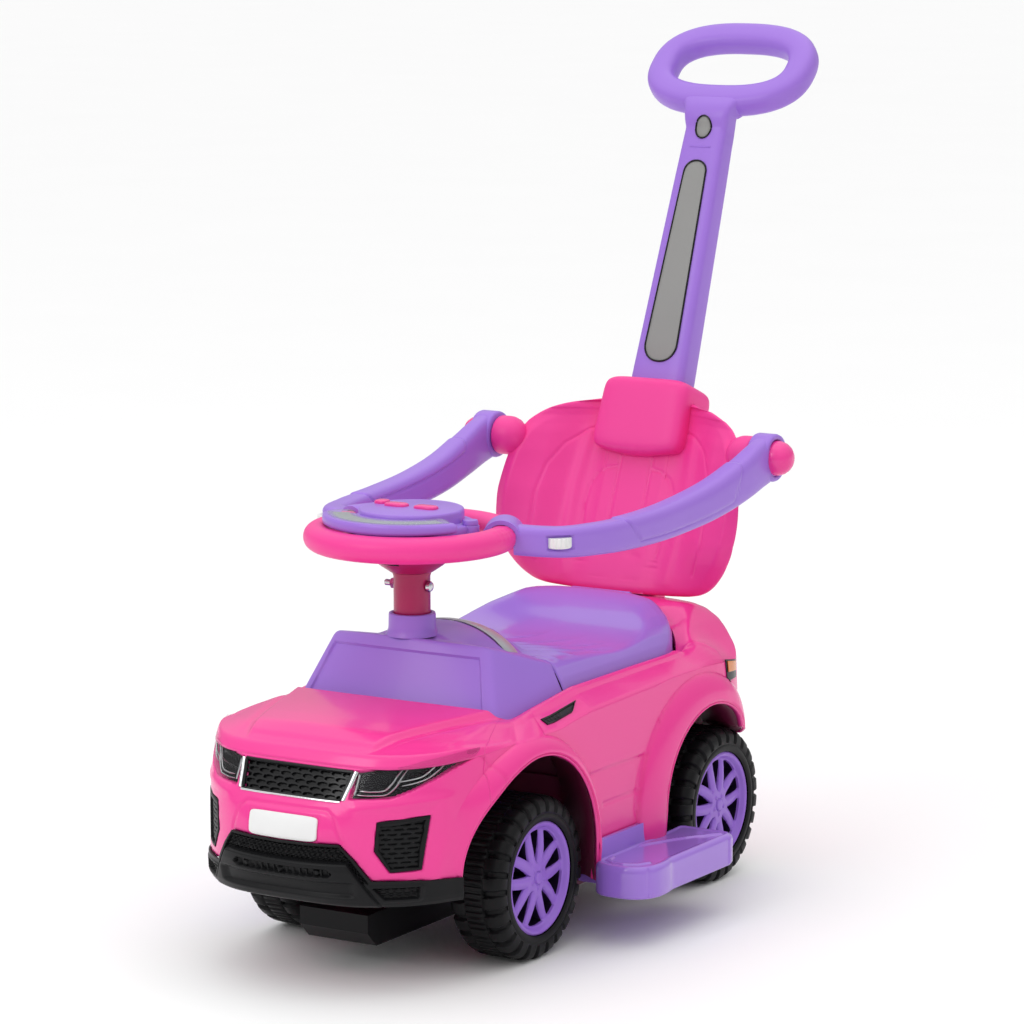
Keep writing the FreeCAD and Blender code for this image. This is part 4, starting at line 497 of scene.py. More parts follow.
def topAt(s, g):
    # from the wall's top edge inwards: hood, shoulder or tail deck, each a height over the share g
    s, g = np.broadcast_arrays(s, g)
    edgeZ = topEdge(planAt(s, outerPlan)[..., 1])
    outer, inner = skinAt(s, edgeZ), planAt(s, innerPlan)
    yEdge = outer[..., 1]
    frontW, rearW = 1 - smoothStep(-135, -45, yEdge), smoothStep(285, 385, yEdge)
    peak = np.interp(yEdge, [-60, -30, 90, 300], [229, 231, 243.3, 243.3])
    frontZ = np.interp(g, [0, 0.04, 0.052, 0.14, 0.25, 0.45, 0.66, 1.0],
                       [209.5, 219.6, 221.0, 224, 227, 230, 232.3, 235.5])
    sideZ = edgeZ + (peak - edgeZ) * np.interp(g, [0, 0.08, 0.60, 0.72, 0.80, 0.88, 0.95, 1.0],
                                               [0, 0.12, 0.71, 0.91, 0.99, 1.0, 0.96, 0.83])
    rearZ = np.interp(g, [0, 0.05, 0.12, 0.2, 0.32, 0.45, 0.7, 1.0],
                      [220, 236, 250, 260, 269, 274.5, 277, 276])
    z = frontW * frontZ + rearW * rearZ + (1 - frontW - rearW) * sideZ
    first = frontW * 209.5 + rearW * 220 + (1 - frontW - rearW) * edgeZ
    z = z + (edgeZ - first) * (1 - smoothStep(0, 0.2, g))
    z = z - 17 * smoothStep(0.45, 1.0, g) * smoothStep(292, 322, yEdge) * (1 - smoothStep(374, 402, yEdge))
    pull = np.interp(g, [0, 0.05, 0.12, 0.2, 0.32, 0.45, 0.7, 1.0],
                     [0, 0.01, 0.06, 0.12, 0.25, 0.42, 0.7, 1.0])
    share = (g + rearW * (pull - g))[..., None]
    plan = outer[..., :2] * (1 - share) + inner * share
    x, y = plan[..., 0], plan[..., 1]
    ax = np.abs(x)
    cap = np.interp(ax, [80, 90, 114, 126, 150, 160], [292, 284, 258, 242, 215, 204])
    z = z + rearW * (softMin(z, cap, 3.0) - z)
    hood = frontW * smoothStep(0.05, 0.3, g)
    line = 62 + (y + 190) * 0.30  # hood crease, running out from the grille's ends to the screen's corners
    z = z + np.maximum(7.0 * (1 - (x / 118) ** 2) * hood, 0)
    z = z + 3.4 * smoothStep(3, -3, ax - line) * smoothStep(0.06, 0.14, g) * frontW
    z = z - 2.2 * np.exp(-((ax - line - 6) / 5.0) ** 2) * hood
    z = z - 1.5 * np.exp(-((g - 0.12) / 0.02) ** 2) * frontW * smoothStep(75, 60, ax)
    z = z + 1.4 * np.exp(-(lineReach(ax, y, [(121, 300), (139, 344)]) / 2.5) ** 2)
    return np.stack([x, y, z], -1)


def topGrid():  # the top over all shares, with a flange that turns down at the opening
    g = np.concatenate([np.linspace(0, 0.16, 18), np.linspace(0.17, 0.93, 48), np.linspace(0.94, 1.0, 8)])
    grid = blurAlong(topAt(allS[:, None], g[None, :]), 1, 1)
    flange = [grid[:, -1:] + np.array([0, 0, -drop]) for drop in (9.0, 26.0)]
    return np.concatenate([grid, *flange], 1)


wall, deck = wallGrid(), topGrid()
returns = [archReturn(arch) for arch in archShapes]
firstCut, lastCut = noseCut
makePiece("nose_wall", [openSheet(wall[firstCut:lastCut + 1])], "car", glossPink, ["body_shell"],
          sharp=50, thick=2.6)
makePiece("hood_skin", [openSheet(deck[firstCut:lastCut + 1])], "car", glossPink, sharp=50, thick=2.2)
for name, rows in (("left", slice(lastCut, None)), ("right", slice(0, firstCut + 1))):
    strips = [strip if name == "left" else mirror(strip) for strip in returns]
    makePiece(f"flank_wall_{name}", [openSheet(wall[rows])], "car", glossPink, sharp=50, thick=2.6)
    makePiece(f"shoulder_skin_{name}", [openSheet(deck[rows])], "car", glossPink, sharp=50, thick=2.2)
    # each arch return's lip rows stay gloss pink; its deeper rows take the painted shade of the wells
    lips, wells = [openSheet(grid[:, :3]) for grid in strips], [openSheet(grid[:, 2:]) for grid in strips]
    makePiece(f"arch_lips_{name}", lips, "car", glossPink, sharp=50, thick=1.6)
    makePiece(f"arch_wells_{name}", wells, "car", wellShadePink, sharp=50, thick=1.6)
print("body skin done")


# Nose trim: grille, lamps, fog vents, plate, bumper and shoulder vents lie on the nose's own surface.
def patch(left, right, low, high, count=(120, 40)):
    # grid between two upright edges and two curves: x from left to right, z from low(x) to high(x)
    a, b = np.linspace(0, 1, count[0])[:, None], np.linspace(0, 1, count[1])[None, :]
    x = left + (right - left) * a + 0 * b
    return x, low(x) + (high(x) - low(x)) * b


def outlineOf(corners, steps=14):  # points spread along a closed polygon
    p = np.array(list(corners) + list(corners)[:1], float)
    t = np.linspace(0, 1, steps, endpoint=False)[:, None]
    return np.concatenate([p[k] * (1 - t) + p[k + 1] * t for k in range(len(corners))])


def rimLine(corners, lift, radius, steps=14):  # bead along a polygon on the nose
    line = outlineOf(corners, steps)
    return tube(onNose(line[:, 0], line[:, 1], np.full(len(line), lift)), radius, 8, closed=True)


grilleShape = dict(rows=5, link=12.0, depth=2.8, seat=-4.8, low=182.2, tall=23.8)
a, b = np.linspace(-1, 1, 320)[:, None], np.linspace(0, 1, 84)[None, :]
z = grilleShape["low"] + grilleShape["tall"] * b + 0 * a
x = a * (53.6 + 4.8 * b)
row = (z - grilleShape["low"]) / grilleShape["tall"] * grilleShape["rows"]
u = (x / grilleShape["link"] + 0.5 * (np.floor(row) % 2)) % 1 - 0.5
v = row % 1 - 0.5
# long links, each row shifted by half
hole = smoothStep(1.15, 0.8, (np.abs(u) / 0.43) ** 2.6 + (np.abs(v) / 0.33) ** 2.2)
links = onNose(x, z, grilleShape["seat"] + grilleShape["depth"] * (1 - hole))
makePiece("grille_links", [openSheet(links)], "car", glossBlack, ["upper_grille"], thick=1.2)
makePiece("grille_frame", [loopSheet(rimLine(grilleCorners, -1.4, 1.9))], "car", glossBlack)
foot = np.linspace(-54.5, 54.5, 60)
beads = [closeEnds(tube(onNose(foot, np.full(60, 180.6), np.full(60, 0.1)), 0.9, 8))]
strips = []
for side in (1, -1):
    q, h = np.linspace(0, 1, 9)[None, :], np.linspace(182.0, 206.6, 24)[:, None]
    x = side * (54.6 + (h - 182) * 0.205 + 4.6 * q)
    strips.append(onNose(x, h + 0 * q, -0.6 + 1.5 * np.sin(math.pi * q) ** 0.5 + 0 * h))
makePiece("grille_trim", [tubeSheet(g) for g in beads] + [openSheet(g) for g in strips], "car", chromeTrim)

lampTop = lambda x: np.interp(np.abs(x), [62, 84, 112, 141.5], [206.4, 210.4, 215.9, 222.6])
lampLow = lambda x: np.interp(np.abs(x), [62, 96, 111, 126, 139.5, 141.5],
                              [184.6, 185.1, 191.6, 201.6, 214.4, 221.5])
lampPipes = [[(68, 188), (82, 187.6), (93, 188.8), (98, 194), (102, 203), (106, 212)],
             [(99, 199), (108, 200.5), (116, 203), (121, 208.5), (126, 217)],
             [(70, 191.4), (82, 191), (91, 192.4), (95, 197), (98.6, 204.5), (102, 211)],
             [(103, 195.6), (110, 197), (119, 200.5), (125, 207), (130, 217.5)]]
fogShape = dict(course=4.4, brick=9.0, low=118.6, high=162.0)
for side, name in ((1, "left"), (-1, "right")):
    x, z = patch(side * 62.4, side * 141.0, lampLow, lampTop, (150, 40))
    share = (z - lampLow(x)) / (lampTop(x) - lampLow(x))
    steps = 1.2 * smoothStep(0.46, 0.54, share) + 0.5 * np.exp(-((share - 0.86) / 0.05) ** 2)
    makePiece(f"lamp_housing_{name}", [openSheet(onNose(x, z, -4.9 + steps))], "car", glossBlack,
              [f"headlight_{name}"], thick=1.0)
    makePiece(f"lamp_cover_{name}", [openSheet(onNose(x, z, -0.2 + 0.5 * np.sin(math.pi * share)))], "car",
              lampLens, [f"headlight_lens_{name}"], thick=0.9)
    pipes = []
    for line in lampPipes:
        p = curveAt(line, np.linspace(0, 1, 50))
        radius = 0.85 * np.sin(np.linspace(0.12, math.pi - 0.12, 50)) ** 0.4
        pipe = tube(onNose(side * p[:, 0], p[:, 1], np.full(50, -2.4)), radius, 8)
        pipes.append(tubeSheet(closeEnds(pipe)))
    upright = onNose(np.full(20, side * 65.5), np.linspace(187.5, 204.8, 20), np.full(20, -2.2))
    pipes.append(tubeSheet(closeEnds(tube(upright, 1.2, 8))))
    makePiece(f"lamp_pipes_{name}", pipes, "car", chromeTrim)

    h, a = np.linspace(fogShape["low"], fogShape["high"], 84)[None, :], np.linspace(0, 1, 72)[:, None]
    left, right = np.interp(h, [117, 137, 163.5], [97.5, 87.2, 88.8]), np.interp(h, [117, 167], [116.6, 121])
    x = left + (right - left) * a
    z = h + 2.0 * a * smoothStep(140, 160, h)
    row = (z - fogShape["low"]) / fogShape["course"]
    u = (x / fogShape["brick"] + 0.5 * (np.floor(row) % 2)) % 1 - 0.5
    hole = smoothStep(1.2, 0.75, (np.abs(u) / 0.42) ** 3 + (np.abs(row % 1 - 0.5) / 0.31) ** 3)
    mesh = onNose(side * x, z, -3.2 - 1.6 * hole)
    makePiece(f"fog_mesh_{name}", [openSheet(mesh)], "car", bumperBlack, [f"fog_vent_{name}"],
              thick=1.2)
    line = outlineOf(fogCorners, 16)
    heart = line.mean(0)
    reach = np.linalg.norm(line - heart, axis=1)[:, None]
    widen = 1 + 0.6 * smoothStep(156, 162, line[:, 1])
    inset = np.array([-0.4, 0.0, 0.5, 1.4, 2.3, 2.8, 3.0])[None, :] * widen[:, None]
    band = heart + (line - heart)[:, None, :] * (1 - inset / reach)[..., None]
    lift = np.broadcast_to(np.array([-2.0, 0.1, 0.6, 0.7, 0.6, 0.0, -3.4])[None, :], inset.shape)
    border = onNose(side * band[..., 0], band[..., 1], lift)
    makePiece(f"fog_frame_{name}", [ringSheet(border)], "car", bumperBlack)

px, pz = ringSection(64, 9.0)
rho = np.array([0.0, 0.5, 0.93, 0.985, 1.0, 1.0])[:, None]
lift = np.broadcast_to(np.array([1.1, 1.1, 1.1, 0.9, 0.4, -1.2])[:, None], (6, 64))
plate = onNose(37.2 * rho * px[None, :], 155.2 + 11.2 * rho * pz[None, :], lift)
makePiece("bare_plate", [tubeSheet(plate)], "car", plainWhite, ["number_plate"])

bumperShape = dict(back=-126.0, low=83.0, cell=(5.4, 4.2))
reach = sOfY(np.array(bumperShape["back"]))
bs = np.linspace(-reach, reach, 460)
bx = np.abs(planAt(bs, outerPlan)[:, 0])
top = np.interp(bx, *bumperEdge)
bz = bumperShape["low"] + (top - bumperShape["low"])[:, None] * np.linspace(0, 1, 94)[None, :]
grid = skinAt(np.broadcast_to(bs[:, None], bz.shape), bz)
x = np.broadcast_to(bx[:, None], bz.shape)
wing = ((x - 64) * 43 + (bz - 127) * 26) / 50.2  # distance past the slanted end of the middle beam
beamZ = np.interp(bz, [83, 84.5, 88, 93.5, 94.8, 97, 107.5, 109.2, 111, 118, 124.5, 126.5],
                  [-5, 1.0, 4.0, 5.4, 5.2, 1.6, 2.4, 5.0, 6.2, 7.0, 6.6, 4.4])
plainZ = np.interp(bz, [83, 84.5, 88, 93.5, 118, 126.5], [-5, 1.0, 4.0, 5.4, 7.0, 4.4])
scoop = smoothStep(74, 64, x)
beamZ = beamZ * scoop + plainZ * (1 - scoop)
wingZ = np.interp(bz, [83, 84.5, 88, 92, 110], [-5, 0.4, 2.2, 3.0, 3.0])
beam = smoothStep(0.8, -0.8, np.maximum(wing, bz - 126.5))
lift = beamZ * beam + wingZ * (1 - beam)
u = (x / bumperShape["cell"][0] + 0.5 * (np.floor(bz / bumperShape["cell"][1]) % 2)) % 1 - 0.5
v = (bz / bumperShape["cell"][1]) % 1 - 0.5
hole = smoothStep(0.50, 0.34, np.hypot(u, v))
meshCorners = [(-9, 140.6), (57.5, 140.6), (67, 129), (80.5, 108), (76.5, 107.5), (64.5, 126.8), (-9, 126.8)]
slotCorners = [(-9, 120.4), (48, 120.4), (52, 117), (48, 113.8), (-9, 113.8)]
lift = lift - smoothStep(0.7, -0.7, polygonReach(x, bz, meshCorners)) * (2.2 + 2.2 * hole)
slot = smoothStep(0.7, -0.7, polygonReach(x, bz, slotCorners))
boss = smoothStep(3.0, 2.2, np.hypot(x - 38, bz - 117)) + smoothStep(3.0, 2.2, np.hypot(x, bz - 117))
lift = lift - slot * (5.0 - 1.6 * smoothStep(0.30, 0.40, np.abs(x / 7.0 % 1 - 0.5)) - 2.6 * boss)
gillReach = polygonReach(x, bz, [(84.6, 103), (115, 102.5), (114, 92.4), (92.3, 92.4)])
lift = lift - smoothStep(0.7, -0.7,
                         gillReach) * (3.8 + 1.2 * hole) + 0.8 * np.exp(-((gillReach - 1.6) / 1.2) ** 2)
lift = lift - 1.3 * np.exp(-(wing / 0.9) ** 2) * smoothStep(127, 124, bz)
grid = grid + outwardOf(grid) * lift[..., None]
makePiece("bumper_skin", [openSheet(grid)], "car", bumperBlack, ["front_bumper"], sharp=45,
          thick=2.0)


def onShoulder(y, g, lift):  # point on the shoulder at y and share g, lifted along its normal
    e = 0.004
    here = topAt(sOfY(y), g)
    n = unit(np.cross(topAt(sOfY(y + 1.0), g) - here, topAt(sOfY(y), g + e) - here))
    n *= np.where(n[..., 2:] < 0, -1.0, 1.0)
    return here + n * np.asarray(lift)[..., None]


ventShape = dict(low=((10.0, 0.215), (56.5, 0.21)), high=((4.3, 0.46), (78.0, 0.475)))
a, b = np.linspace(0, 1, 90)[:, None], np.linspace(0, 1, 30)[None, :]
(y0, g0), (y1, g1) = ventShape["low"]
(y2, g2), (y3, g3) = ventShape["high"]
y = (y0 + (y1 - y0) * a) * (1 - b) + (y2 + (y3 - y2) * a) * b
g = (g0 + (g1 - g0) * a) * (1 - b) + (g2 + (g3 - g2) * a) * b
edgeGap = np.minimum(np.minimum(a * 60, (1 - a) * 60), np.minimum(b * 10, (1 - b) * 10))
lift = np.interp(edgeGap, [0, 0.5, 1.0, 2.2, 2.8], [-1.2, 1.2, 1.5, 1.4, 0.2])
slats = smoothStep(0.2, 0.35, np.abs((a * 60 + b * 6) / 6.0 % 1 - 0.5)) * smoothStep(0.62, 0.5, a)
vent = onShoulder(y, g, lift + 0.9 * smoothStep(2.8, 3.2, edgeGap) * slats)
makePiece("shoulder_vents", [openSheet(vent), openSheet(mirror(vent))], "car", glossBlack,
          ["side_vents"], thick=1.4)

tailShape = dict(front=343.0, back=374.0)
a, b = np.linspace(0, 1, 40)[:, None], np.linspace(0, 1, 30)[None, :]
y = tailShape["front"] + (tailShape["back"] - tailShape["front"]) * a + 5 * (1 - b) * (1 - a)
z = 205 + 23 * b - 5 * a * b
bezel = skinAt(sOfY(y), z) + np.array([1.0, 0.2, 0.0])
glow = skinAt(sOfY(y[4:36, 12:28]), z[4:36, 12:28]) + np.array([1.9, 0.3, 0.0])
makePiece("tail_bezels", [openSheet(bezel), openSheet(mirror(bezel))], "car", glossBlack, thick=1.2)
makePiece("tail_lenses", [openSheet(glow), openSheet(mirror(glow))], "car", amberLens,
          ["tail_lights"], thick=0.8)
print("nose trim done")

# Cowl: outline rings that rise to the screen's top edge, then run in over the roof and the dome.
cowlShape = dict(dome=(78.7, 122.0, 62.5), domeMiddle=(35.0, 239.0), power=2.05, border=9.5, recess=2.2)
cowlFoot = [(0, -55.6, 224), (30, -54, 224), (60, -49, 225), (85, -42, 226), (100, -36.5, 227),
            (109, -32, 228), (112.8, -27.5, 229), (114.3, -18, 230.5), (116, 10, 233.5), (119, 50, 237.5),
            (119.6, 74, 240), (119.2, 82, 240.5), (117.5, 85.6, 240.5), (108, 86, 240.5), (80, 86, 240.5),
            (54, 86, 240.5), (27, 86, 240.5), (0, 86, 240.5)]
cowlRim = [(0, -18.5), (22, -17.6), (44, -14), (62, -9), (75, -4), (83, 0), (88, 5), (90.5, 12), (95, 28),
           (100, 52), (103.2, 70), (104, 78), (103.6, 84.4), (98, 85.7), (76, 85.8), (52, 85.8), (26, 85.8),
           (0, 85.8)]


def domeHeight(x, y):  # z = z0 + h sqrt(1 - ((y - y0) / l)^2) sqrt(1 - (|x| / w)^n)
    wide, long, tall = cowlShape["dome"]
    middle, low = cowlShape["domeMiddle"]
    r = np.sqrt(np.clip(1 - ((y - middle) / long) ** 2, 0, None))
    return low + tall * r * np.sqrt(np.clip(1 - (np.abs(x) / wide) ** cowlShape["power"], 0, None))


def cowlHeight(x, y):  # sloping roof or dome, whichever is higher; the dome is let down where the band lies
    roof = np.interp(y, [-30, 3, 16, 30, 60, 89], [294.5, 291.2, 288, 283.2, 272.8, 264.2])
    roof = roof + 3.6 * (1 - (x / 90) ** 2) * smoothStep(30, -15, y)
    roof = roof + 5.0 * smoothStep(104, 72, np.abs(x)) * smoothStep(30, 86, y)
    dome = domeHeight(x, y) - 14.0 * smoothStep(12, -18, y) - 4.0 * smoothStep(66.5, 68.0, y)
    return softMax(roof, dome, 1.6)


def closedCurve(points, count):  # smooth closed curve, run on past its ends so that they meet smoothly
    p = np.asarray(points, float)
    ring = np.concatenate([p[-3:], p, p[:4]])
    knots = np.arange(len(ring), dtype=float)
    return curveAt(ring, np.linspace(3, 3 + len(p), count, endpoint=False), knots)


def loopAt(points, count):  # closed curve through a half outline and its mirror image
    p = np.array(points, float)
    other = p[-2:0:-1] * np.array([-1.0] + [1.0] * (p.shape[1] - 1))
    return closedCurve(np.concatenate([p, other]), count)


foot, rim = loopAt(cowlFoot, 460), loopAt(cowlRim, 460)
foot[:, 2] -= 7.0  # runs down inside the body's opening
rim = np.concatenate([rim, cowlHeight(rim[:, :1], rim[:, 1:2]) - 1.0], 1)
w = np.linspace(0, 1, 44)
wall = foot[:, None, :] * (1 - w)[None, :, None] + rim[:, None, :] * w[None, :, None]
inward = np.concatenate([np.linspace(0.03, 0.3, 18), np.linspace(0.32, 1.0, 40)])
plan = rim[:, None, :2] * (1 - inward)[None, :, None] + np.array([0, columnY + 2]) * inward[None, :, None]
cap = np.concatenate([plan, cowlHeight(plan[..., :1], plan[..., 1:2])], -1)
shell = np.concatenate([wall, cap], 1)
soft = blurAlong(shell[:, 36:62], 1, 6)
rear = smoothStep(84.5, 85.5, shell[:, 36:62, 1:2])
shell[:, 36:62] = soft * (1 - rear) + shell[:, 36:62] * rear
n = normalsOf(shell, True, False)
n *= np.where(n[..., :1] * shell[..., :1] + n[..., 1:2] * (shell[..., 1:2] - 40) < 0, -1.0, 1.0)
level = np.concatenate([w, np.full(len(inward), 2.0)])[None, :]
half = 112.5 + (88 - 112.5) * np.clip(level, 0, 1)
inside = np.minimum(half - cowlShape["border"] - np.abs(shell[..., 0]), (0.87 - level) * 74)
screen = smoothStep(-0.8, 0.8, inside) * (shell[..., 1] < 12)
shell = shell - n * (cowlShape["recess"] * screen)[..., None]
collarProfile = [(25.5, 296.0), (23.8, 299.0), (22.9, 301.5), (22.5, 304.5), (22.4, 310.0), (22.3, 315.2),
                 (21.9, 316.6), (21.0, 317.0), (18.6, 317.0), (18.1, 316.2), (18.1, 296.0)]
collar = turned(collarProfile, (0, columnY, 0))
makePiece("cowl_shell", [ringSheet(shell), ringSheet(collar)], "car", satinPurple, ["cowl"],
          sharp=40)

bandShape = dict(front=66.0, back=85.8, half=71.0)
by, bu = np.linspace(bandShape["front"], bandShape["back"], 24)[:, None], np.linspace(-1, 1, 121)[None, :]
bandX = bandShape["half"] * np.sin(0.5 * math.pi * bu) + 0 * by
share = np.clip((by - bandShape["front"]) / (bandShape["back"] - bandShape["front"]), 0, 1)
rise = 0.5 + 1.0 * np.sin(math.pi * share) ** 0.5
grid = np.stack([bandX * (1 + 0.012 * rise), by + 0 * bandX, domeHeight(bandX, by) + rise], -1)
makePiece("dome_band", [openSheet(grid)], "car", silverPaint, ["silver_band"], thick=1.0)
print("cowl done")

# Seat: a saddle height over its plan that takes up the dome behind the band, with folds that fan out from it.
seatShape = dict(folds=31, foldHeight=2.0, low=232.6, front=86.6)
rearAt = lambda x: np.interp(np.abs(x), [0, 25, 45, 62, 80, 94, 104, 112, 117, 119.2],
                             [353, 351.6, 348.6, 344, 337, 328, 317.5, 304, 288, 262])
a = np.sin(np.linspace(-math.pi / 2, math.pi / 2, 190) * 0.97) / math.sin(0.97 * math.pi / 2)
t = 0.5 - 0.5 * np.cos(np.linspace(0, math.pi, 170))
x = np.broadcast_to((118.8 * a)[:, None], (190, 170))
front, rear = seatShape["front"], rearAt(x)
y = front + (rear - front) * t[None, :]
crestLine = np.array([(80, 267), (120, 265.5), (160, 261.5), (200, 257.5), (232, 258.5), (262, 265),
                      (292, 277), (316, 284.5), (334, 287), (356, 286)], float)
crest = curveAt(crestLine, np.clip((y - 80) / 276, 0, 1), (crestLine[:, 0] - 80) / 276)[..., 1]
section = np.interp(np.abs(x), [0, 40, 70, 92, 101, 108, 113, 116.5, 119.2],
                    [292, 290, 285, 273, 266, 258.5, 250, 242, 233])
z = softMin(crest, section, 2.2)
z = softMax(z, domeHeight(x, y) - 0.8 - 12 * smoothStep(87, 118, y), 2.0)
z = z - np.interp(rear - y, [0, 0.6, 2.0, 5, 10, 20], [46, 13, 7, 3, 1.0, 0]) * smoothStep(240, 300, y)
z = z - np.interp(y - front, [0, 0.8, 2.2, 5], [4.5, 1.8, 0.5, 0])
z = np.maximum(z, seatShape["low"])
theta, rho = np.arctan2(x, y - 50), np.hypot(x, y - 50)
fade = smoothStep(34, 52, rho) * (1 - smoothStep(90, 210, rho))
fade = fade * smoothStep(2, 14, y - front) * smoothStep(106, 88, np.abs(x))
fold = np.sin(0.5 * seatShape["folds"] * theta + 1.4 * np.sin(3 * theta + rho / 46) + 0.5 * np.sin(rho / 23))
z = z + seatShape["foldHeight"] * fade * (1 - np.abs(fold)) ** 1.3 * 2
makePiece("seat_saddle", [openSheet(np.stack([x, y, z], -1))], "seat", seatPurple, ["seat_lid"],
          sharp=60, thick=2.4)
barrel = turned([(2.1, -34), (4.7, -34), (5.0, -33), (5.0, 33), (4.7, 34), (2.1, 34)], (0, 353, 279), "x", 32)
makePiece("seat_hinge_barrel", [ringSheet(barrel)], "seat", seatPurple)
print("seat done")

# Backrest: a pillow over a smooth outline, bowed forward at its sides and drawn forward over the spine.
backShape = dict(thick=19.0, lean=0.49, foot=(385.0, 308.0), spine=(371.0, 276.0, 0.404))
backOutline = [(0, 466), (30, 465.4), (58, 463), (80, 460), (92, 457.3), (104, 453), (115, 446.5),
               (123.5, 438.5), (130, 426), (134.5, 411.5), (138.5, 393), (141.3, 372), (141.6, 357),
               (140.3, 342), (136.5, 326), (129.5, 311), (121.5, 299.5), (113, 290.5), (103, 283.5),
               (91, 279.4), (70, 277.8), (0, 277.6)]
ring = loopAt(backOutline, 300)
middle = np.array([0.0, 366.0])
halfAt = lambda h: np.interp(h, [277, 281, 287.5, 298.5, 311, 326, 342, 357, 372, 393, 411.5, 426, 438.5,
                                 446.5, 453, 460, 466],
                             [88, 98, 109, 121, 129.5, 136.5, 140.3, 141.6, 141.3, 138.5, 134.5, 130, 123.5,
                              115, 104, 80, 30])
bowAt = lambda h: np.interp(h, [277, 285, 298, 315, 335, 373, 412, 439, 454, 460, 466],
                            [-10, -5, 5, 17, 28, 40, 46, 44, 39, 30, 16])


def backFace(x, z):  # leaning plane minus a forward bow that grows with (x / half width)^2
    start, low = backShape["foot"]
    return start + backShape["lean"] * (z - low) - bowAt(z) * (x / np.maximum(halfAt(z), 60)) ** 2


def spineFace(x, z):  # plane just ahead of the spine, falling away beside it
    start, low, slope = backShape["spine"]
    return start + slope * (z - low) + np.interp(np.abs(x), [0, 34, 50, 66, 90], [0, 0.5, 6, 22, 70])


rho = 1 - (1 - np.linspace(0, 1, 110)) ** 1.5
flat = middle + (ring - middle)[:, None, :] * rho[None, :, None]
x, z = flat[..., 0], flat[..., 1]
ax = np.abs(x)
y = softMin(backFace(x, z), spineFace(x, z), 3.0)
edgeGap = np.broadcast_to(rho[None, :], x.shape)
roll = 7.0 * (1 - np.sqrt(np.clip(1 - np.clip((edgeGap - 0.9) / 0.1, 0, 1) ** 2, 0, 1)))
bolster = -6.0 * smoothStep(70, 100, ax) * smoothStep(0.99, 0.9, edgeGap)
bolster = bolster * smoothStep(290, 330, z) * smoothStep(455, 425, z)
grooveLines = [[(18.5, 292), (18.5, 440)],
               [(18.5, 399), (31, 397), (42, 390), (49, 378), (50.5, 360), (47, 330), (42, 300)],
               [(36, 440), (62, 433), (82, 419), (95, 398), (101, 370), (101, 332), (92, 302)]]
groove = sum(1.2 * np.exp(-(lineReach(ax, z, line) / 1.3) ** 2) for line in grooveLines)
ridge = -1.5 * np.exp(-(lineReach(ax, z, [(60, 292), (64, 330), (65, 380), (60, 430)]) / 6.0) ** 2)
frontFace = np.stack([x, y + roll + bolster + groove + ridge, z], -1)
backRho = np.linspace(1, 0, 26)
flat = middle + (ring - middle)[:, None, :] * backRho[None, :, None]
x, z = flat[..., 0], flat[..., 1]
depth = 7.0 + (backShape["thick"] - 7.0) * np.sqrt(np.clip(1 - backRho**6, 0, 1))[None, :]
pillow = np.concatenate([frontFace, np.stack([x, backFace(x, z) + depth, z], -1)], 1)
earProfile = [(0.0, 119.0), (7.0, 120.0), (13.0, 124.0), (17.5, 129.5), (19.6, 135.0), (20.0, 139.0),
              (20.0, 147.6), (19.2, 149.6), (17.6, 150.4), (0.0, 150.4)]
ear = turned(earProfile, (0, *armPivot), "x", 48)
makePiece("back_bucket", [ringSheet(pillow), ringSheet(ear), ringSheet(mirror(ear))], "car", satinPink,
          ["backrest"], sharp=50)


# Handle and headrest share the leaning shaft's own directions.
def leaning(degrees):  # directions along and into a face that leans back
    c, s = math.cos(math.radians(degrees)), math.sin(math.radians(degrees))
    return np.array([0, s, c]), np.array([0, c, -s])


(shaftUp, shaftIn), (loopUp, loopIn) = leaning(22), leaning(47)
shaftRoot, side = np.array([0, 376.0, 276.0]), np.array([1.0, 0, 0])


def onShaft(x, t, d):  # across the shaft, along it and into it
    x, t, d = (np.asarray(k, float)[..., None] for k in np.broadcast_arrays(x, t, d))
    return shaftRoot + side * x + shaftUp * t + shaftIn * d


headShape = dict(low=146.0, high=225.0, half=52.0, front=-21.0, back=45.0)
u = np.sin(np.linspace(-0.5 * math.pi, 0.5 * math.pi, 80))
t = 0.5 * (headShape["low"] + headShape["high"]) + 0.5 * (headShape["high"] - headShape["low"]) * u
ca, cb = ringSection(88, 6.5)
ends = np.clip(1 - np.abs(u) ** 9, 0, 1) ** (1 / 5)  # squarish round at the pad's top and foot
wide = headShape["half"] * ends * np.interp(u, [-1, -0.5, 1], [1.0, 1.0, 0.95])
deepMid, deep = 0.5 * (headShape["front"] + headShape["back"]), 0.5 * (headShape["back"] - headShape["front"])
deepAt = deep * ends
sag = -4.0 * (1 - ca**2)[None, :] * smoothStep(0.2, -1.0, u)[:, None]  # lower edge hangs lower in the middle
pad = onShaft(wide[:, None] * ca[None, :], t[:, None] + sag, deepMid + deepAt[:, None] * cb[None, :])
makePiece("head_pad", [tubeSheet(pad)], "car", satinPink, ["headrest"], sharp=60)

# Push handle: flat shaft with rounded edges, a neck that flares and a squared oval loop.
handleShape = dict(loop=(80.0, 44.5), ringHalf=(15.0, 15.5), ringDepth=14.0, middle=(0.0, 623.7, 793.0),
                   square=0.78)
loopMiddle = np.array(handleShape["middle"])
stations = [(-36, 31, 18), (0, 31, 18), (120, 31, 18), (230, 31, 18), (350, 28, 16.5), (440, 25.7, 15.3),
            (480, 24.4, 14.7), (500, 24.0, 14.3)]
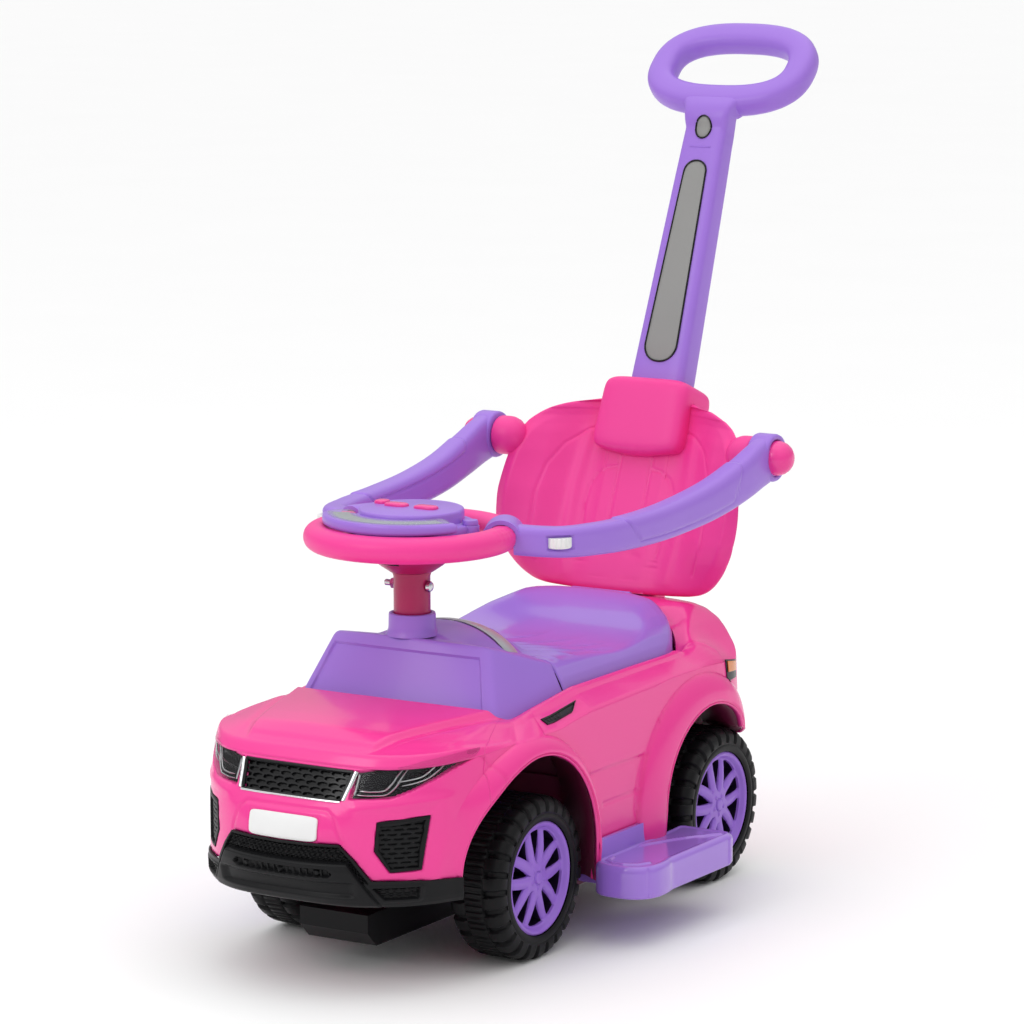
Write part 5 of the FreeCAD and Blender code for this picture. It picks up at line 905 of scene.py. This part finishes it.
# the neck's distance short of the loop's middle, half width and half depth
neck = [(62.0, 27.0, 13.8), (52.0, 35.0, 13.4), (44.0, 48.0, 12.0)]
spine = np.array([onShaft(0, t, d) for t, w, d in stations] + [loopMiddle - loopUp * t for t, w, d in neck])
wides, deeps = np.array(stations + neck)[:, 1:].T
k = np.linspace(0, 1, 160)
knots = knotsOf(spine)
path = curveAt(spine, k, knots)
tangent = unit(np.gradient(path, axis=0))
across = np.broadcast_to(side, path.shape)
shaftGrid = sweep(path, across, np.cross(tangent, across), np.interp(k, knots, wides),
                  np.interp(k, knots, deeps), 56, 5.5)
phi = np.linspace(0, 2 * math.pi, 200, endpoint=False)
power = handleShape["square"]
ovalX = handleShape["loop"][0] * np.sign(np.cos(phi)) * np.abs(np.cos(phi)) ** power
ovalT = handleShape["loop"][1] * np.sign(np.sin(phi)) * np.abs(np.sin(phi)) ** power
centre = loopMiddle + np.outer(ovalX, side) + np.outer(ovalT, loopUp)
along = np.roll(centre, -1, 0) - np.roll(centre, 1, 0)
outwards = unit(np.cross(along, loopIn))
outwards *= np.sign(((centre - loopMiddle) * outwards).sum(1, keepdims=True))
ringWide = handleShape["ringHalf"][0] * np.cos(phi) ** 2 + handleShape["ringHalf"][1] * np.sin(phi) ** 2
loopGrid = sweep(centre, outwards, np.broadcast_to(loopIn, centre.shape), ringWide, handleShape["ringDepth"],
                 32, 2.8)
makePiece("handle_bar", [tubeSheet(closeEnds(shaftGrid)), loopSheet(loopGrid)], "car", satinPurple,
          ["push_handle"], sharp=60)


def stadium(halfLow, halfHigh, low, high, count=72):  # long oval that narrows upwards
    t = np.linspace(0, 2 * math.pi, count, endpoint=False)
    end = np.sin(t)
    half = np.where(end > 0, halfHigh, halfLow)
    x = np.cos(t)
    x = np.sign(x) * np.abs(x) ** 0.9
    return x * half, np.where(end > 0, high - halfHigh + halfHigh * end, low + halfLow + halfLow * end)


def shaftFront(t):  # depth of the shaft's front face along it
    face = path - np.cross(tangent, across) * np.interp(k, knots, deeps)[:, None] - shaftRoot
    return np.interp(t, face @ shaftUp, face @ shaftIn)


def shaftPatch(x, t, lift):  # lifted off the front face
    return onShaft(x, t, shaftFront(t) - lift)


panelShape = dict(middle=353.0, half=(18.0, 12.5), ends=(246.0, 460.0), badge=497.0, crease=476.0)
lx, lt = stadium(*panelShape["half"], *panelShape["ends"])
middle = panelShape["middle"]
rho, lift = np.array([(0.0, 0.9), (0.4, 0.9), (0.8, 0.9), (0.97, 0.8), (1.0, 0.2)]).T[:, :, None]
face = shaftPatch(lx[None, :] * rho, middle + (lt - middle)[None, :] * rho, lift)
edge = tube(shaftPatch(lx * 1.03, middle + (lt - middle) * 1.008, 0.5), 1.0, 8, closed=True)
makePiece("handle_panel", [tubeSheet(face)], "car", panelGrey, ["handle_label"])
makePiece("handle_panel_edge", [loopSheet(edge)], "car", glossBlack)
bt = np.linspace(0, 2 * math.pi, 48, endpoint=False)
bx, by = np.cos(bt), np.sin(bt)
rho, lift = np.array([(0.0, 1.4), (0.5, 1.2), (0.9, 0.7), (1.0, 0.1)]).T[:, :, None]
oval = shaftPatch(8.2 * bx[None, :] * rho, panelShape["badge"] + 10.8 * by[None, :] * rho, lift)
edge = tube(shaftPatch(9.0 * bx, panelShape["badge"] + 11.6 * by, 0.5), 0.9, 8, closed=True)
makePiece("handle_badge_blank", [tubeSheet(oval)], "car", panelGrey)
makePiece("handle_badge_ring", [loopSheet(edge)], "car", glossBlack)
lineX = np.linspace(-12, 12, 24)
crease = closeEnds(tube(shaftPatch(lineX, panelShape["crease"] + 0 * lineX, 0.1), 0.7, 6))
makePiece("handle_crease", [tubeSheet(crease)], "car", satinPurple)
print("back and handle done")

# Steering wheel: oval rim, dished hub, spokes
wheelShape = dict(height=390.5, circle=88.0, half=(14.0, 12.5), spokes=(-139, -41, 90), boltHeight=343.0)
wheelMiddle, upwards = np.array([0.0, columnY, 0.0]), np.array([0, 0, 1.0])


def onCircle(turn):  # outward directions round the wheel, and points on the circle at the middle of its rim
    radial = np.stack([np.cos(turn), np.sin(turn), 0 * turn], -1)
    return radial, wheelMiddle + radial * wheelShape["circle"] + upwards * wheelShape["height"]


phi = np.linspace(0, 2 * math.pi, 260, endpoint=False)
radial, centre = onCircle(phi)
rimGrid = sweep(centre, radial, np.broadcast_to(upwards, centre.shape), *wheelShape["half"], 48, 2.15)
n = normalsOf(rimGrid, True, True)
n *= np.sign(((rimGrid - centre[:, None, :]) * n).sum(-1, keepdims=True))
ang = np.degrees(phi)[:, None]
outOf = np.hypot(rimGrid[..., 0], rimGrid[..., 1] - columnY) - wheelShape["circle"]
tilt = np.degrees(np.arctan2(rimGrid[..., 2] - wheelShape["height"], outOf))
dots = np.zeros(rimGrid.shape[:2])
for first, step, row in np.ndindex(2, 5, 3):  # grip dots at each side, five along and three round the rim
    da = (ang - ((-2, 167)[first] + 4.2 * step) + 180) % 360 - 180
    dots = np.maximum(dots, np.exp(-((da / 1.2) ** 2 + ((tilt - 18 - 22 * row) / 7.5) ** 2)))
rimGrid = rimGrid + n * (1.1 * dots)[..., None]
hubProfile = [(0, 356.2), (20.5, 356.2), (22.5, 357.5), (30, 362.5), (37.5, 368.5), (41, 373), (43, 380),
              (52, 381.5), (57, 384), (58, 389), (57, 394.5), (54, 396), (0, 396)]
hub = turned(hubProfile, wheelMiddle)
spokes, r = [], np.linspace(40, 84, 14)
heights, wides = np.interp(r, [40, 60, 84], [386.5, 387.5, 389.5]), np.interp(r, [40, 60, 84], [14, 11.5, 14])
for turn in np.radians(wheelShape["spokes"]):
    d = np.array([math.cos(turn), math.sin(turn), 0])
    line = wheelMiddle + d[None, :] * r[:, None] + upwards * heights[:, None]
    across = np.broadcast_to(np.cross(upwards, d), line.shape)
    spoke = sweep(line, across, np.broadcast_to(upwards, line.shape), wides, 6.5, 24, 3)
    spokes.append(tubeSheet(closeEnds(spoke)))
makePiece("steer_rim", [loopSheet(rimGrid)] + spokes, "steering", satinPink, ["steering_wheel"],
          sharp=50)
# hub and column sleeve take the darker pink of painted shade under the wheel
makePiece("steer_hub", [ringSheet(hub)], "steering", paintedShadePink, sharp=50)
slotX = np.linspace(-9, 9, 20)
slotLine = np.stack([slotX, columnY - np.sqrt(37.2**2 - slotX**2), np.full(20, 368.0)], -1)
makePiece("hub_slot", [tubeSheet(closeEnds(tube(slotLine, 1.1, 8)))], "steering", glossBlack)
columnProfile = [(6.2, 300.2), (17.3, 300.2), (17.5, 301), (17.5, 352), (18.4, 354.5), (18.4, 355.7),
                 (6.2, 355.7)]
sleeve = turned(columnProfile, wheelMiddle)
makePiece("column_sleeve", [ringSheet(sleeve)], "steering", paintedShadePink, ["steering_column"])
boltProfile = [(0, 18.0), (5.2, 18.0), (5.4, 18.6), (5.4, 20.0), (4.4, 21.6), (2.6, 22.3), (0, 22.5)]
boltMiddle = (0, columnY, wheelShape["boltHeight"])
bolt = turned(boltProfile, boltMiddle, "x", 24)
nut = turned([(5.4, -18.0), (5.4, -22.0), (2.6, -22.0)], boltMiddle, "x", 6)
shank = turned([(3.0, -22.0), (3.0, -29.2), (2.4, -30.0), (0, -30.0)], boltMiddle, "x", 20)
makePiece("column_screw", [ringSheet(bolt), ringSheet(nut), ringSheet(shank)], "steering", brightSteel,
          ["column_bolt"])

# Console: half-moon plate with a raised disc, clear strip, buttons and cap
consoleShape = dict(radius=84.0, chord=-34.0, heart=(0, -58), knob=(58, 16, 0), strip=(53, 79),
                    under=(58, 74))


def halfMoon(radius, chord, count=120):  # arc ahead of a chord, corners rounded by averaging
    turn = math.acos(-chord / radius)
    t = np.linspace(-math.pi / 2 - turn, -math.pi / 2 + turn, count * 2 // 3)
    arc = np.stack([radius * np.cos(t), radius * np.sin(t)], -1)
    backX = np.linspace(arc[-1, 0], arc[0, 0], count // 3 + 2)[1:-1]
    loop = np.concatenate([arc, np.stack([backX, np.full(count // 3, chord)], -1)])
    for _ in range(5):
        loop = 0.25 * np.roll(loop, 1, 0) + 0.5 * loop + 0.25 * np.roll(loop, -1, 0)
    return loop


def stack(loop, middle, levels):  # levels are (share of the outline, height)
    lv = np.array(levels, float)
    m = np.array(middle, float)
    flat = m + (loop - m)[:, None, :] * lv[None, :, :1]
    grid = np.concatenate([flat, np.broadcast_to(lv[None, :, 1:], flat.shape[:2] + (1,))], -1)
    return grid + wheelMiddle


def arcStrip(reach, degrees, count):  # radius over turn, as flat x and y round the column
    t = np.linspace(math.radians(-90 - degrees), math.radians(-90 + degrees), count[0])[:, None]
    r = np.linspace(*reach, count[1])[None, :]
    return r, r * np.cos(t), columnY + r * np.sin(t)


moonLevels = [(0, 403.2), (0.95, 403.2), (0.985, 404.2), (1.0, 406), (1.0, 409.5), (0.985, 411.6),
              (0.95, 413.0), (0, 413.0)]
discProfile = [(0, 396.2), (59.5, 396.2), (60, 397), (60, 401.8), (58.6, 403.5), (52, 404), (50.4, 405),
               (50.0, 408), (50.0, 414.2), (49.2, 416.2), (47.5, 417.0), (46, 416.6), (44.5, 416.6),
               (43, 417), (0, 417.4)]
padProfile = [(0, 396.2), (8.2, 396.2), (8.5, 397), (8.5, 402.6), (8.0, 403.4), (0, 403.4)]
knobProfile = [(0, 403.7), (7.5, 403.7), (7.5, 407), (6.8, 408.2), (4.6, 408.5), (0, 408.5)]
moon = stack(halfMoon(consoleShape["radius"], consoleShape["chord"]), consoleShape["heart"], moonLevels)
disc = turned(discProfile, wheelMiddle, "z", 96)
padRing = turned(padProfile, consoleShape["knob"], "z", 32)
makePiece("console_plate", [ringSheet(moon), ringSheet(disc), ringSheet(padRing)], "steering", satinPurple,
          ["console"], sharp=45)
r, x, y = arcStrip(consoleShape["strip"], 60, (90, 14))
near, far = consoleShape["strip"]
bulge = 2.0 * np.abs(np.sin(math.pi * (r - near) / (far - near))) ** 0.5
strip = np.stack([x, y, 413.3 + bulge + 0 * x], -1)
makePiece("console_window", [openSheet(strip)], "steering", screenLens, ["console_screen"],
          thick=1.0)
r, x, y = arcStrip(consoleShape["under"], 56, (80, 8))
under = np.stack([x, y, 413.15 + 0 * x], -1)
makePiece("console_window_back", [openSheet(under)], "steering", silverPaint)
# middle and half sizes of each key
keyPlaces = dict(left=(-38, 8, 6.5, 7), middle=(-16.5, 0, 12, 7), right=(16.5, 0, 12, 7))
keyLevels = [(0, 413.6), (0.97, 413.6), (1.0, 414.2), (1.0, 418.4), (0.95, 419.4), (0.82, 420.0), (0, 420.2)]
qx, qy = ringSection(48, 3.2)
for name, (mx, my, hx, hy) in keyPlaces.items():
    cap = stack(np.stack([mx + hx * qx, my + hy * qy], -1), (mx, my), keyLevels)
    makePiece(f"console_key_{name}", [ringSheet(cap)], f"button_{name}", glossPink,
              [f"console_button_{name}"], sharp=60)
knob = turned(knobProfile, consoleShape["knob"], "z", 40)
makePiece("console_knob", [ringSheet(knob)], "steering", satinPurple, ["console_cap"])
print("steering done")

# Guard arms: rounded bar along an S path with a raised pad, a boss at the pivot and a cuff over the wheel.
armShape = dict(pad=1.2, thumb=(129.7, 57.7), thumbHeight=387.0)
armPath = np.array([(163.5, 398, 423.5), (163.4, 380, 419), (162.6, 352.4, 410.6), (159.3, 302.8, 398),
                    (155.5, 241.8, 389.2), (151.4, 169.6, 384.7), (142.1, 104.2, 384.8), (125.7, 61.7, 386.4),
                    (108, 49, 387.6), (92, 43, 388.5)], float)
armWide = np.array([11.0, 11.4, 12.4, 13.0, 13.0, 12.8, 12.6, 12.6, 12.6, 12.4])
armTall = np.array([23.0, 22.4, 21.0, 19.0, 17.4, 16.0, 15.0, 14.4, 14.2, 14.2])
k = np.linspace(0, 1, 260)
knots = knotsOf(armPath)
path = curveAt(armPath, k, knots)
tangent = unit(np.gradient(path, axis=0))
outward = unit(np.cross(tangent, upwards))
outward *= np.sign(outward[:1, :1])
upward = np.cross(outward, tangent)
upward *= np.sign(upward[:, 2:3])
tall = np.interp(k, knots, armTall)
bar = sweep(path, outward, upward, np.interp(k, knots, armWide), tall, 84, 3.6)
ca, cb = (np.broadcast_to(q[None, :], bar.shape[:2]) for q in ringSection(84, 3.6))
n = normalsOf(bar, False, True)
n *= np.sign(((bar - path[:, None, :]) * n).sum(-1, keepdims=True))
length = np.linalg.norm(np.diff(path, axis=0), axis=1).sum()
low = np.where(ca > 0, (cb + 0.42) * tall[:, None], (cb - 0.55) * tall[:, None])
ends = np.minimum(k[:, None] - (0.20 - 0.05 * cb), (0.66 + 0.035 * cb) - k[:, None]) * length
padEdge = np.minimum(low, ends)  # distance inside the pad that lies over the top and down the outer side
padLift = armShape["pad"] * smoothStep(-0.9, 0.9, padEdge) - 0.7 * np.exp(-((padEdge + 1.2) / 1.1) ** 2)
bar = bar + n * padLift[..., None]
offset = bar - np.array([*armShape["thumb"], armShape["thumbHeight"]])
window = smoothStep(14.6, 13.4, np.hypot(offset[..., 0], offset[..., 1]))
window = window * smoothStep(7.4, 6.6, np.abs(offset[..., 2])) * (ca > 0)
bar = bar - n * (3.0 * window)[..., None]  # let in round the thumbwheel, on the outer side
bossProfile = [(8.3, 151.2), (21.5, 151.2), (23.4, 152.2), (24.0, 154), (24.0, 171.5), (23.2, 173.6),
               (21.6, 174.5), (19.4, 174.5), (18.6, 173.9), (18.5, 164.2), (8.3, 164.2)]
bossGrid = turned(bossProfile, (0, *armPivot), "x", 64)
cuffShape = dict(turns=(16.0, 38.0), hug=(-28, 208), outer=(19.4, 18.0), inner=(15.3, 13.7), rounded=0.965)
cuffRadial, cuffMiddle = onCircle(np.radians(np.linspace(*cuffShape["turns"], 26)))
psi = np.radians(np.linspace(*cuffShape["hug"], 46))
outer, inner = (np.stack([np.cos(psi), np.sin(psi)], -1) * cuffShape[skin] for skin in ("outer", "inner"))
hoop = np.concatenate([outer, inner[::-1]])
ends = np.ones((26, 1, 1))
ends[[0, -1]] = cuffShape["rounded"]
cuffGrid = (cuffMiddle[:, None, :] + cuffRadial[:, None, :] * hoop[None, :, :1] * ends
            + upwards * hoop[None, :, 1:] * ends)
first, last = (0.5 * (row + row[:, ::-1]) for row in (cuffGrid[:1], cuffGrid[-1:]))
cuffCaps = np.concatenate([first, cuffGrid, last])  # the wall's two skins meet at each end
buttonProfile = [(0, 168.6), (17.3, 168.6), (17.5, 169), (17.5, 175.5), (17.0, 179), (15.6, 183), (12.9, 187),
                 (9, 190), (4.6, 191.4), (0, 191.7)]
buttonGrid = turned(buttonProfile, (0, *armPivot), "x", 48)
knurl = np.linspace(0, 2 * math.pi, 192, endpoint=False)
thumbProfile = [(2.6, 382.1), (11.2, 382.1), (12.0, 383), (12.0, 391), (11.2, 391.9), (2.6, 391.9)]
thumbGrid = turned(thumbProfile, (0, 0, 0), "z", 192)
thumbGrid[:, 2:4, :2] *= (1 - 0.07 * smoothStep(-0.2, 0.5, np.cos(16 * knurl)))[:, None, None]
thumbGrid = thumbGrid + np.array([*armShape["thumb"], 0.0])
for name, turn in bothSides:
    sheets = [tubeSheet(turn(closeEnds(bar))), ringSheet(turn(bossGrid)), tubeSheet(turn(cuffCaps))]
    makePiece(f"guard_bar_{name}", sheets, f"arm_{name}", satinPurple, [f"guard_arm_{name}"],
              sharp=50)
    makePiece(f"guard_stud_{name}", [ringSheet(turn(buttonGrid))], f"arm_button_{name}", glossPink,
              [f"arm_button_{name}"], sharp=60)
    makePiece(f"thumb_roller_{name}", [ringSheet(turn(thumbGrid))], f"thumbwheel_{name}", plainWhite,
              [f"thumbwheel_{name}"], sharp=40)
print("guard arms done")

# Foot trays: rounded platform, hollow below, with a low rim, foot-shaped ridges and a tab against the body.
trayShape = dict(middle=183.0, ends=(106.0, 218.0), ridge=1.7, floor=77.9)
trayLoop = [(150.6, 112), (150.6, 100), (152, 88), (157, 79.5), (166, 74), (178, 72), (192, 72.6), (203, 77),
            (211, 85), (215.2, 96), (215.8, 108), (214.8, 119), (213.0, 128), (212.6, 142), (212.6, 190),
            (212.6, 232), (212.0, 243), (208.5, 249.5), (202, 251.8), (180, 252), (160, 252), (153, 250.5),
            (150.6, 246), (150.6, 234), (150.6, 170)]
loop = closedCurve(trayLoop, 480)
roots = np.stack([np.full(len(loop), trayShape["middle"]), np.clip(loop[:, 1], *trayShape["ends"])], -1)
reach = np.linalg.norm(loop - roots, axis=1)
trayProfile = np.array([(40, 70.4), (5.6, 70.4), (4.2, 69), (4.0, 48.6), (3.4, 48), (0.9, 48), (0.2, 48.8),
                        (0, 50.5), (0, 58), (0, 66), (0, 72), (0.5, 75.2), (1.9, 77.8), (4.0, 79),
                        (5.6, 78.9), (6.6, 78.5), (7.4, 78.1), (8.6, 77.9)])
floorRows = np.stack([np.linspace(9.4, 40, 46), np.full(46, trayShape["floor"])], -1)
profile = np.concatenate([trayProfile, floorRows])
share = np.clip(1 - profile[None, :, 0] / reach[:, None], 0, 1)
flat = roots[:, None, :] + (loop - roots)[:, None, :] * share[..., None]
z = np.broadcast_to(profile[None, :, 1], share.shape).copy()
onFloor = np.arange(len(profile)) >= len(trayProfile)
ridgeLines = [[(159, 158), (166, 174), (174, 194), (184, 212), (202, 238)],
              [(160, 104), (163, 92), (172, 85), (184, 85), (196, 92), (201, 102)]]
ridges = np.minimum(*[lineReach(flat[..., 0], flat[..., 1], line) for line in ridgeLines])
z += onFloor[None, :] * trayShape["ridge"] * smoothStep(3.4, 1.2, ridges)
walls = (profile[:, 0] < 0.6) & (profile[:, 1] > 49)
seams = 0.9 * np.exp(-((loop[:, 0] - 211) / 1.1) ** 2) * (loop[:, 1] < 100)
seams = seams - 1.2 * smoothStep(237, 238.6, loop[:, 1]) * (loop[:, 0] > 190)
flat = flat - ((loop - roots) / reach[:, None])[:, None, :] * (seams[:, None] * walls[None, :])[..., None]
trayGrid = np.concatenate([flat, z[..., None]], -1)


def straightBar(start, end, up, halfWide, halfTall, count):  # straight bar with its width along y
    line = np.linspace(start, end, count[0])
    backwards = np.broadcast_to([0, 1.0, 0], line.shape)
    return closeEnds(sweep(line, backwards, np.broadcast_to(up, line.shape), halfWide, halfTall, count[1], 8))


tabWide = np.interp(np.linspace(60, 97, 16), [60, 88, 94, 96, 97], [47.5, 47.0, 45.5, 43.5, 40])
tab = straightBar((152.4, 137.5, 60), (152.4, 137.5, 97), side, tabWide, 2.0, (16, 40))
root = straightBar((121, 155, 53.0), (156, 155, 53.0), upwards, 48.5, 4.8, (10, 32))
for name, turn in bothSides:
    sheets = [ringSheet(turn(trayGrid)), tubeSheet(turn(tab)), tubeSheet(turn(root))]
    makePiece(f"tray_step_{name}", sheets, "car", trayPurple, [f"foot_tray_{name}"], sharp=45)
print("trays done")

# Wheels: three-row tread tyre and a five-pair spoke rim
tyreShape = dict(lugs=26, lugDepth=4.0, ribDepth=1.6, channelDepth=2.0)
theta = np.linspace(0, 2 * math.pi, tyreShape["lugs"] * 20, endpoint=False)[:, None]
profile = np.array([(54.2, -27.5), (56, -29), (60, -29), (61.5, -28.4), (63, -29), (66, -29), (69, -28.6),
                    (71.5, -27.9), (74, -26.6), (76.3, -24), (77.6, -21), (78, -17), (78, -12), (78, -11),
                    (78, -9.6), (78, -8), (78, -4), (78, 0)], float)
profile = np.concatenate([profile, profile[-2::-1] * np.array([1, -1])])
r, dx = profile[:, 0][None, :] + 0 * theta, profile[:, 1][None, :] + 0 * theta
turnShare = theta / (2 * math.pi) * tyreShape["lugs"]
stagger = np.where(dx > 0, 0.0, 0.5)
lug = np.abs((turnShare + stagger + 0.05 * np.sign(dx) * (np.abs(dx) - 20) / 10) % 1 - 0.5)
gapMask = smoothStep(0.30, 0.38, lug) * smoothStep(9.9, 10.6, np.abs(dx)) * smoothStep(63.5, 67, r)
rib = smoothStep(0.24, 0.36, np.abs((turnShare * 3) % 1 - 0.5)) * smoothStep(9.6, 9.0, np.abs(dx))
channel = np.exp(-((np.abs(dx) - 10.2) / 0.8) ** 2) * (r > 76)
r = r - tyreShape["lugDepth"] * gapMask - tyreShape["ribDepth"] * rib - tyreShape["channelDepth"] * channel
dx = dx - np.sign(dx) * 1.4 * gapMask * smoothStep(77, 72, profile[:, 0])[None, :]
tyreGrid = np.stack([wheelMiddleX + dx, r * np.cos(theta), wheelRadius + r * np.sin(theta)], -1)

rimShape = dict(boltCircle=9.6, boltRadius=1.9, boltLift=1.3, floor=2.0)
fifth = 2 * math.pi / 5
rho = np.concatenate([[0.0], np.linspace(1, 14.5, 14), np.linspace(15.2, 45.5, 40),
                      np.linspace(46, 54, 12)])[None, :]
phi = np.linspace(0, 2 * math.pi, 360, endpoint=False)[:, None]
nearest = (phi - math.pi / 2 + fifth / 2) % fifth - fifth / 2  # turn from the nearest pair of spokes
lateral = np.abs(rho * np.sin(nearest))
pairGap = np.interp(rho, [12, 20, 30, 38, 46], [4.4, 7.4, 9.6, 10.9, 11.4])
spoke = smoothStep(6.2, 5.0, np.abs(lateral - pairGap)) * (np.cos(nearest) > 0)
hubMask = smoothStep(17.5, 15.5, rho + 2.0 * np.cos(5 * (phi - math.pi / 2)))
lipMask = smoothStep(44.4, 46.0, rho)
solid = np.maximum(np.maximum(spoke, hubMask), lipMask)
crownX = np.interp(rho, [0, 15, 30, 45, 47, 49.5, 52, 54], [24.5, 24.0, 23.2, 21.5, 22.5, 26.2, 27.2, 26.0])
# each spoke's crown is rounded
crownX = crownX - 0.9 * spoke * (np.abs(lateral - pairGap) / 3.4) ** 2 * (1 - hubMask) * (1 - lipMask)
faceX = rimShape["floor"] + (crownX - rimShape["floor"]) * solid
faceY, faceZ = rho * np.cos(phi), rho * np.sin(phi)
for turn in math.pi / 2 + fifth * (np.arange(5) + 0.5):
    boltY, boltZ = rimShape["boltCircle"] * math.cos(turn), rimShape["boltCircle"] * math.sin(turn)
    reach = np.hypot(faceY - boltY, faceZ - boltZ) / rimShape["boltRadius"]
    faceX = faceX + rimShape["boltLift"] * np.exp(-reach**6)
faceX = faceX + 1.3 * smoothStep(5.6, 5.0, rho) - 0.8 * np.exp(-((rho - 6.2) / 0.5) ** 2)  # centre cap
rimFace = np.stack([wheelMiddleX + faceX, faceY, wheelRadius + faceZ], -1)
barrelProfile = [(54.0, 26.0), (54.0, -26.6), (53.4, -27.0), (49.2, -27.0), (48.8, -26.4), (48.8, 1.5),
                 (15.0, 1.5), (15.0, -26.8), (5.1, -26.8), (5.1, 3.0)]
rimBack = turned(barrelProfile, (wheelMiddleX, 0, wheelRadius), "x", 180)
for end, station in (("front", 0.0), ("rear", rearAxle)):
    for name, turn in bothSides:
        place, wheel = np.array([0, station, 0]), f"wheel_{end}_{name}"
        tyre, face, back = (turn(grid + place) for grid in (tyreGrid, rimFace, rimBack))
        makePiece(f"tread_{end}_{name}", [ringSheet(tyre)], wheel, tyreBlack, [f"tyre_{end}_{name}"],
                  sharp=40)
        makePiece(f"spokes_{end}_{name}", [ringSheet(face), ringSheet(back)], wheel, wheelShadePurple,
                  [f"rim_{end}_{name}"], sharp=40)
print("wheels done")

# Nodes carried over from the frame get their slot's finish.
slotLooks = dict(pink=glossPink, purple=satinPurple, black=bumperBlack, tread=tyreBlack, silver=silverPaint,
                 steel=brightSteel, lens=lampLens, screen=screenLens, plate=plainWhite, label=panelGrey,
                 amber=amberLens)
nodeSlots = {row["node"]: row["material_slot"] for row in frame["record"]["subparts"]}
for name, node in frame["nodes"].items():
    look = slotLooks[nodeSlots[name]]
    if name.startswith("rim_"):
        look = wheelShadePurple
    if name in ("floor_pan", "storage_tub"):  # only seen inside the arches, so they take the wells' painted shade
        look = wellShadePink
    node.data.materials.clear()
    node.data.materials.append(look)
    node.data.shade_smooth()
    node.data.set_sharp_from_angle(angle=math.radians(30))

# Stage, light and camera
floorMesh = bpy.data.meshes.new("studio_floor")
floorMesh.from_pydata([(-40, -40, 0), (40, -40, 0), (40, 40, 0), (-40, 40, 0)], [], [(0, 1, 2, 3)])
floor = bpy.data.objects.new("studio_floor", floorMesh)
bpy.context.scene.collection.objects.link(floor)
paper = Finish("studio_paper", Roughness=0.6)
speck = paper.noise(3.0)
paper.feed("Base Color", paper.blend(speck, (0.93, 0.93, 0.93, 1), (0.95, 0.95, 0.95, 1)))
floorMesh.materials.append(paper.material)

world = bpy.data.worlds.new("studio_air")
world.use_nodes = True
air = world.node_tree.nodes["Background"]
sky = world.node_tree.nodes.new("ShaderNodeSeparateXYZ")
gaze = world.node_tree.nodes.new("ShaderNodeTexCoord")
ramp = world.node_tree.nodes.new("ShaderNodeMapRange")  # dimmer at the horizon than overhead
world.node_tree.links.new(gaze.outputs["Generated"], sky.inputs[0])
world.node_tree.links.new(sky.outputs["Z"], ramp.inputs["Value"])
ramp.inputs["From Min"].default_value, ramp.inputs["From Max"].default_value = 0.0, 1.0
ramp.inputs["To Min"].default_value, ramp.inputs["To Max"].default_value = 0.28, 1.46
world.node_tree.links.new(ramp.outputs[0], air.inputs["Strength"])
air.inputs["Color"].default_value = (1, 1, 1, 1)
bpy.context.scene.world = world
bpy.context.scene.view_settings.view_transform = "Standard"


def softLight(name, place, target, size, power):
    lamp = bpy.data.lights.new(name, "AREA")
    lamp.shape, lamp.size, lamp.size_y, lamp.energy = "RECTANGLE", size[0], size[1], power
    holder = bpy.data.objects.new(name, lamp)
    holder.location = place
    holder.rotation_euler = (Vector(target) - Vector(place)).to_track_quat("-Z", "Y").to_euler()
    bpy.context.scene.collection.objects.link(holder)


softLight("key_soft", (-0.9, -3.0, 2.2), (0, 0, 0.3), (1.8, 1.4), 22)
softLight("top_soft", (0.1, 0.2, 3.0), (0, 0, 0.2), (2.4, 2.4), 8)

shot = dict(place=(2.2029, -3.5835, 1.0760), target=(0.01952, -0.0765, 0.39317), roll=-0.25, focal=4331.21,
            middle=(511.05, 512.1))
lens = bpy.data.cameras.new("photo_camera")
lens.sensor_width, lens.lens = 36.0, shot["focal"] / 1024 * 36
lens.shift_x, lens.shift_y = (512 - shot["middle"][0]) / 1024, (shot["middle"][1] - 512) / 1024
lens.clip_end = 150
camera = bpy.data.objects.new("photo_camera", lens)
aim = (Vector(shot["target"]) - Vector(shot["place"])).to_track_quat("-Z", "Y").to_matrix().to_4x4()
roll = Matrix.Rotation(math.radians(shot["roll"]), 4, "Z")
camera.matrix_world = Matrix.Translation(shot["place"]) @ aim @ roll
bpy.context.scene.collection.objects.link(camera)
bpy.context.scene.camera = camera

print("scene ready")
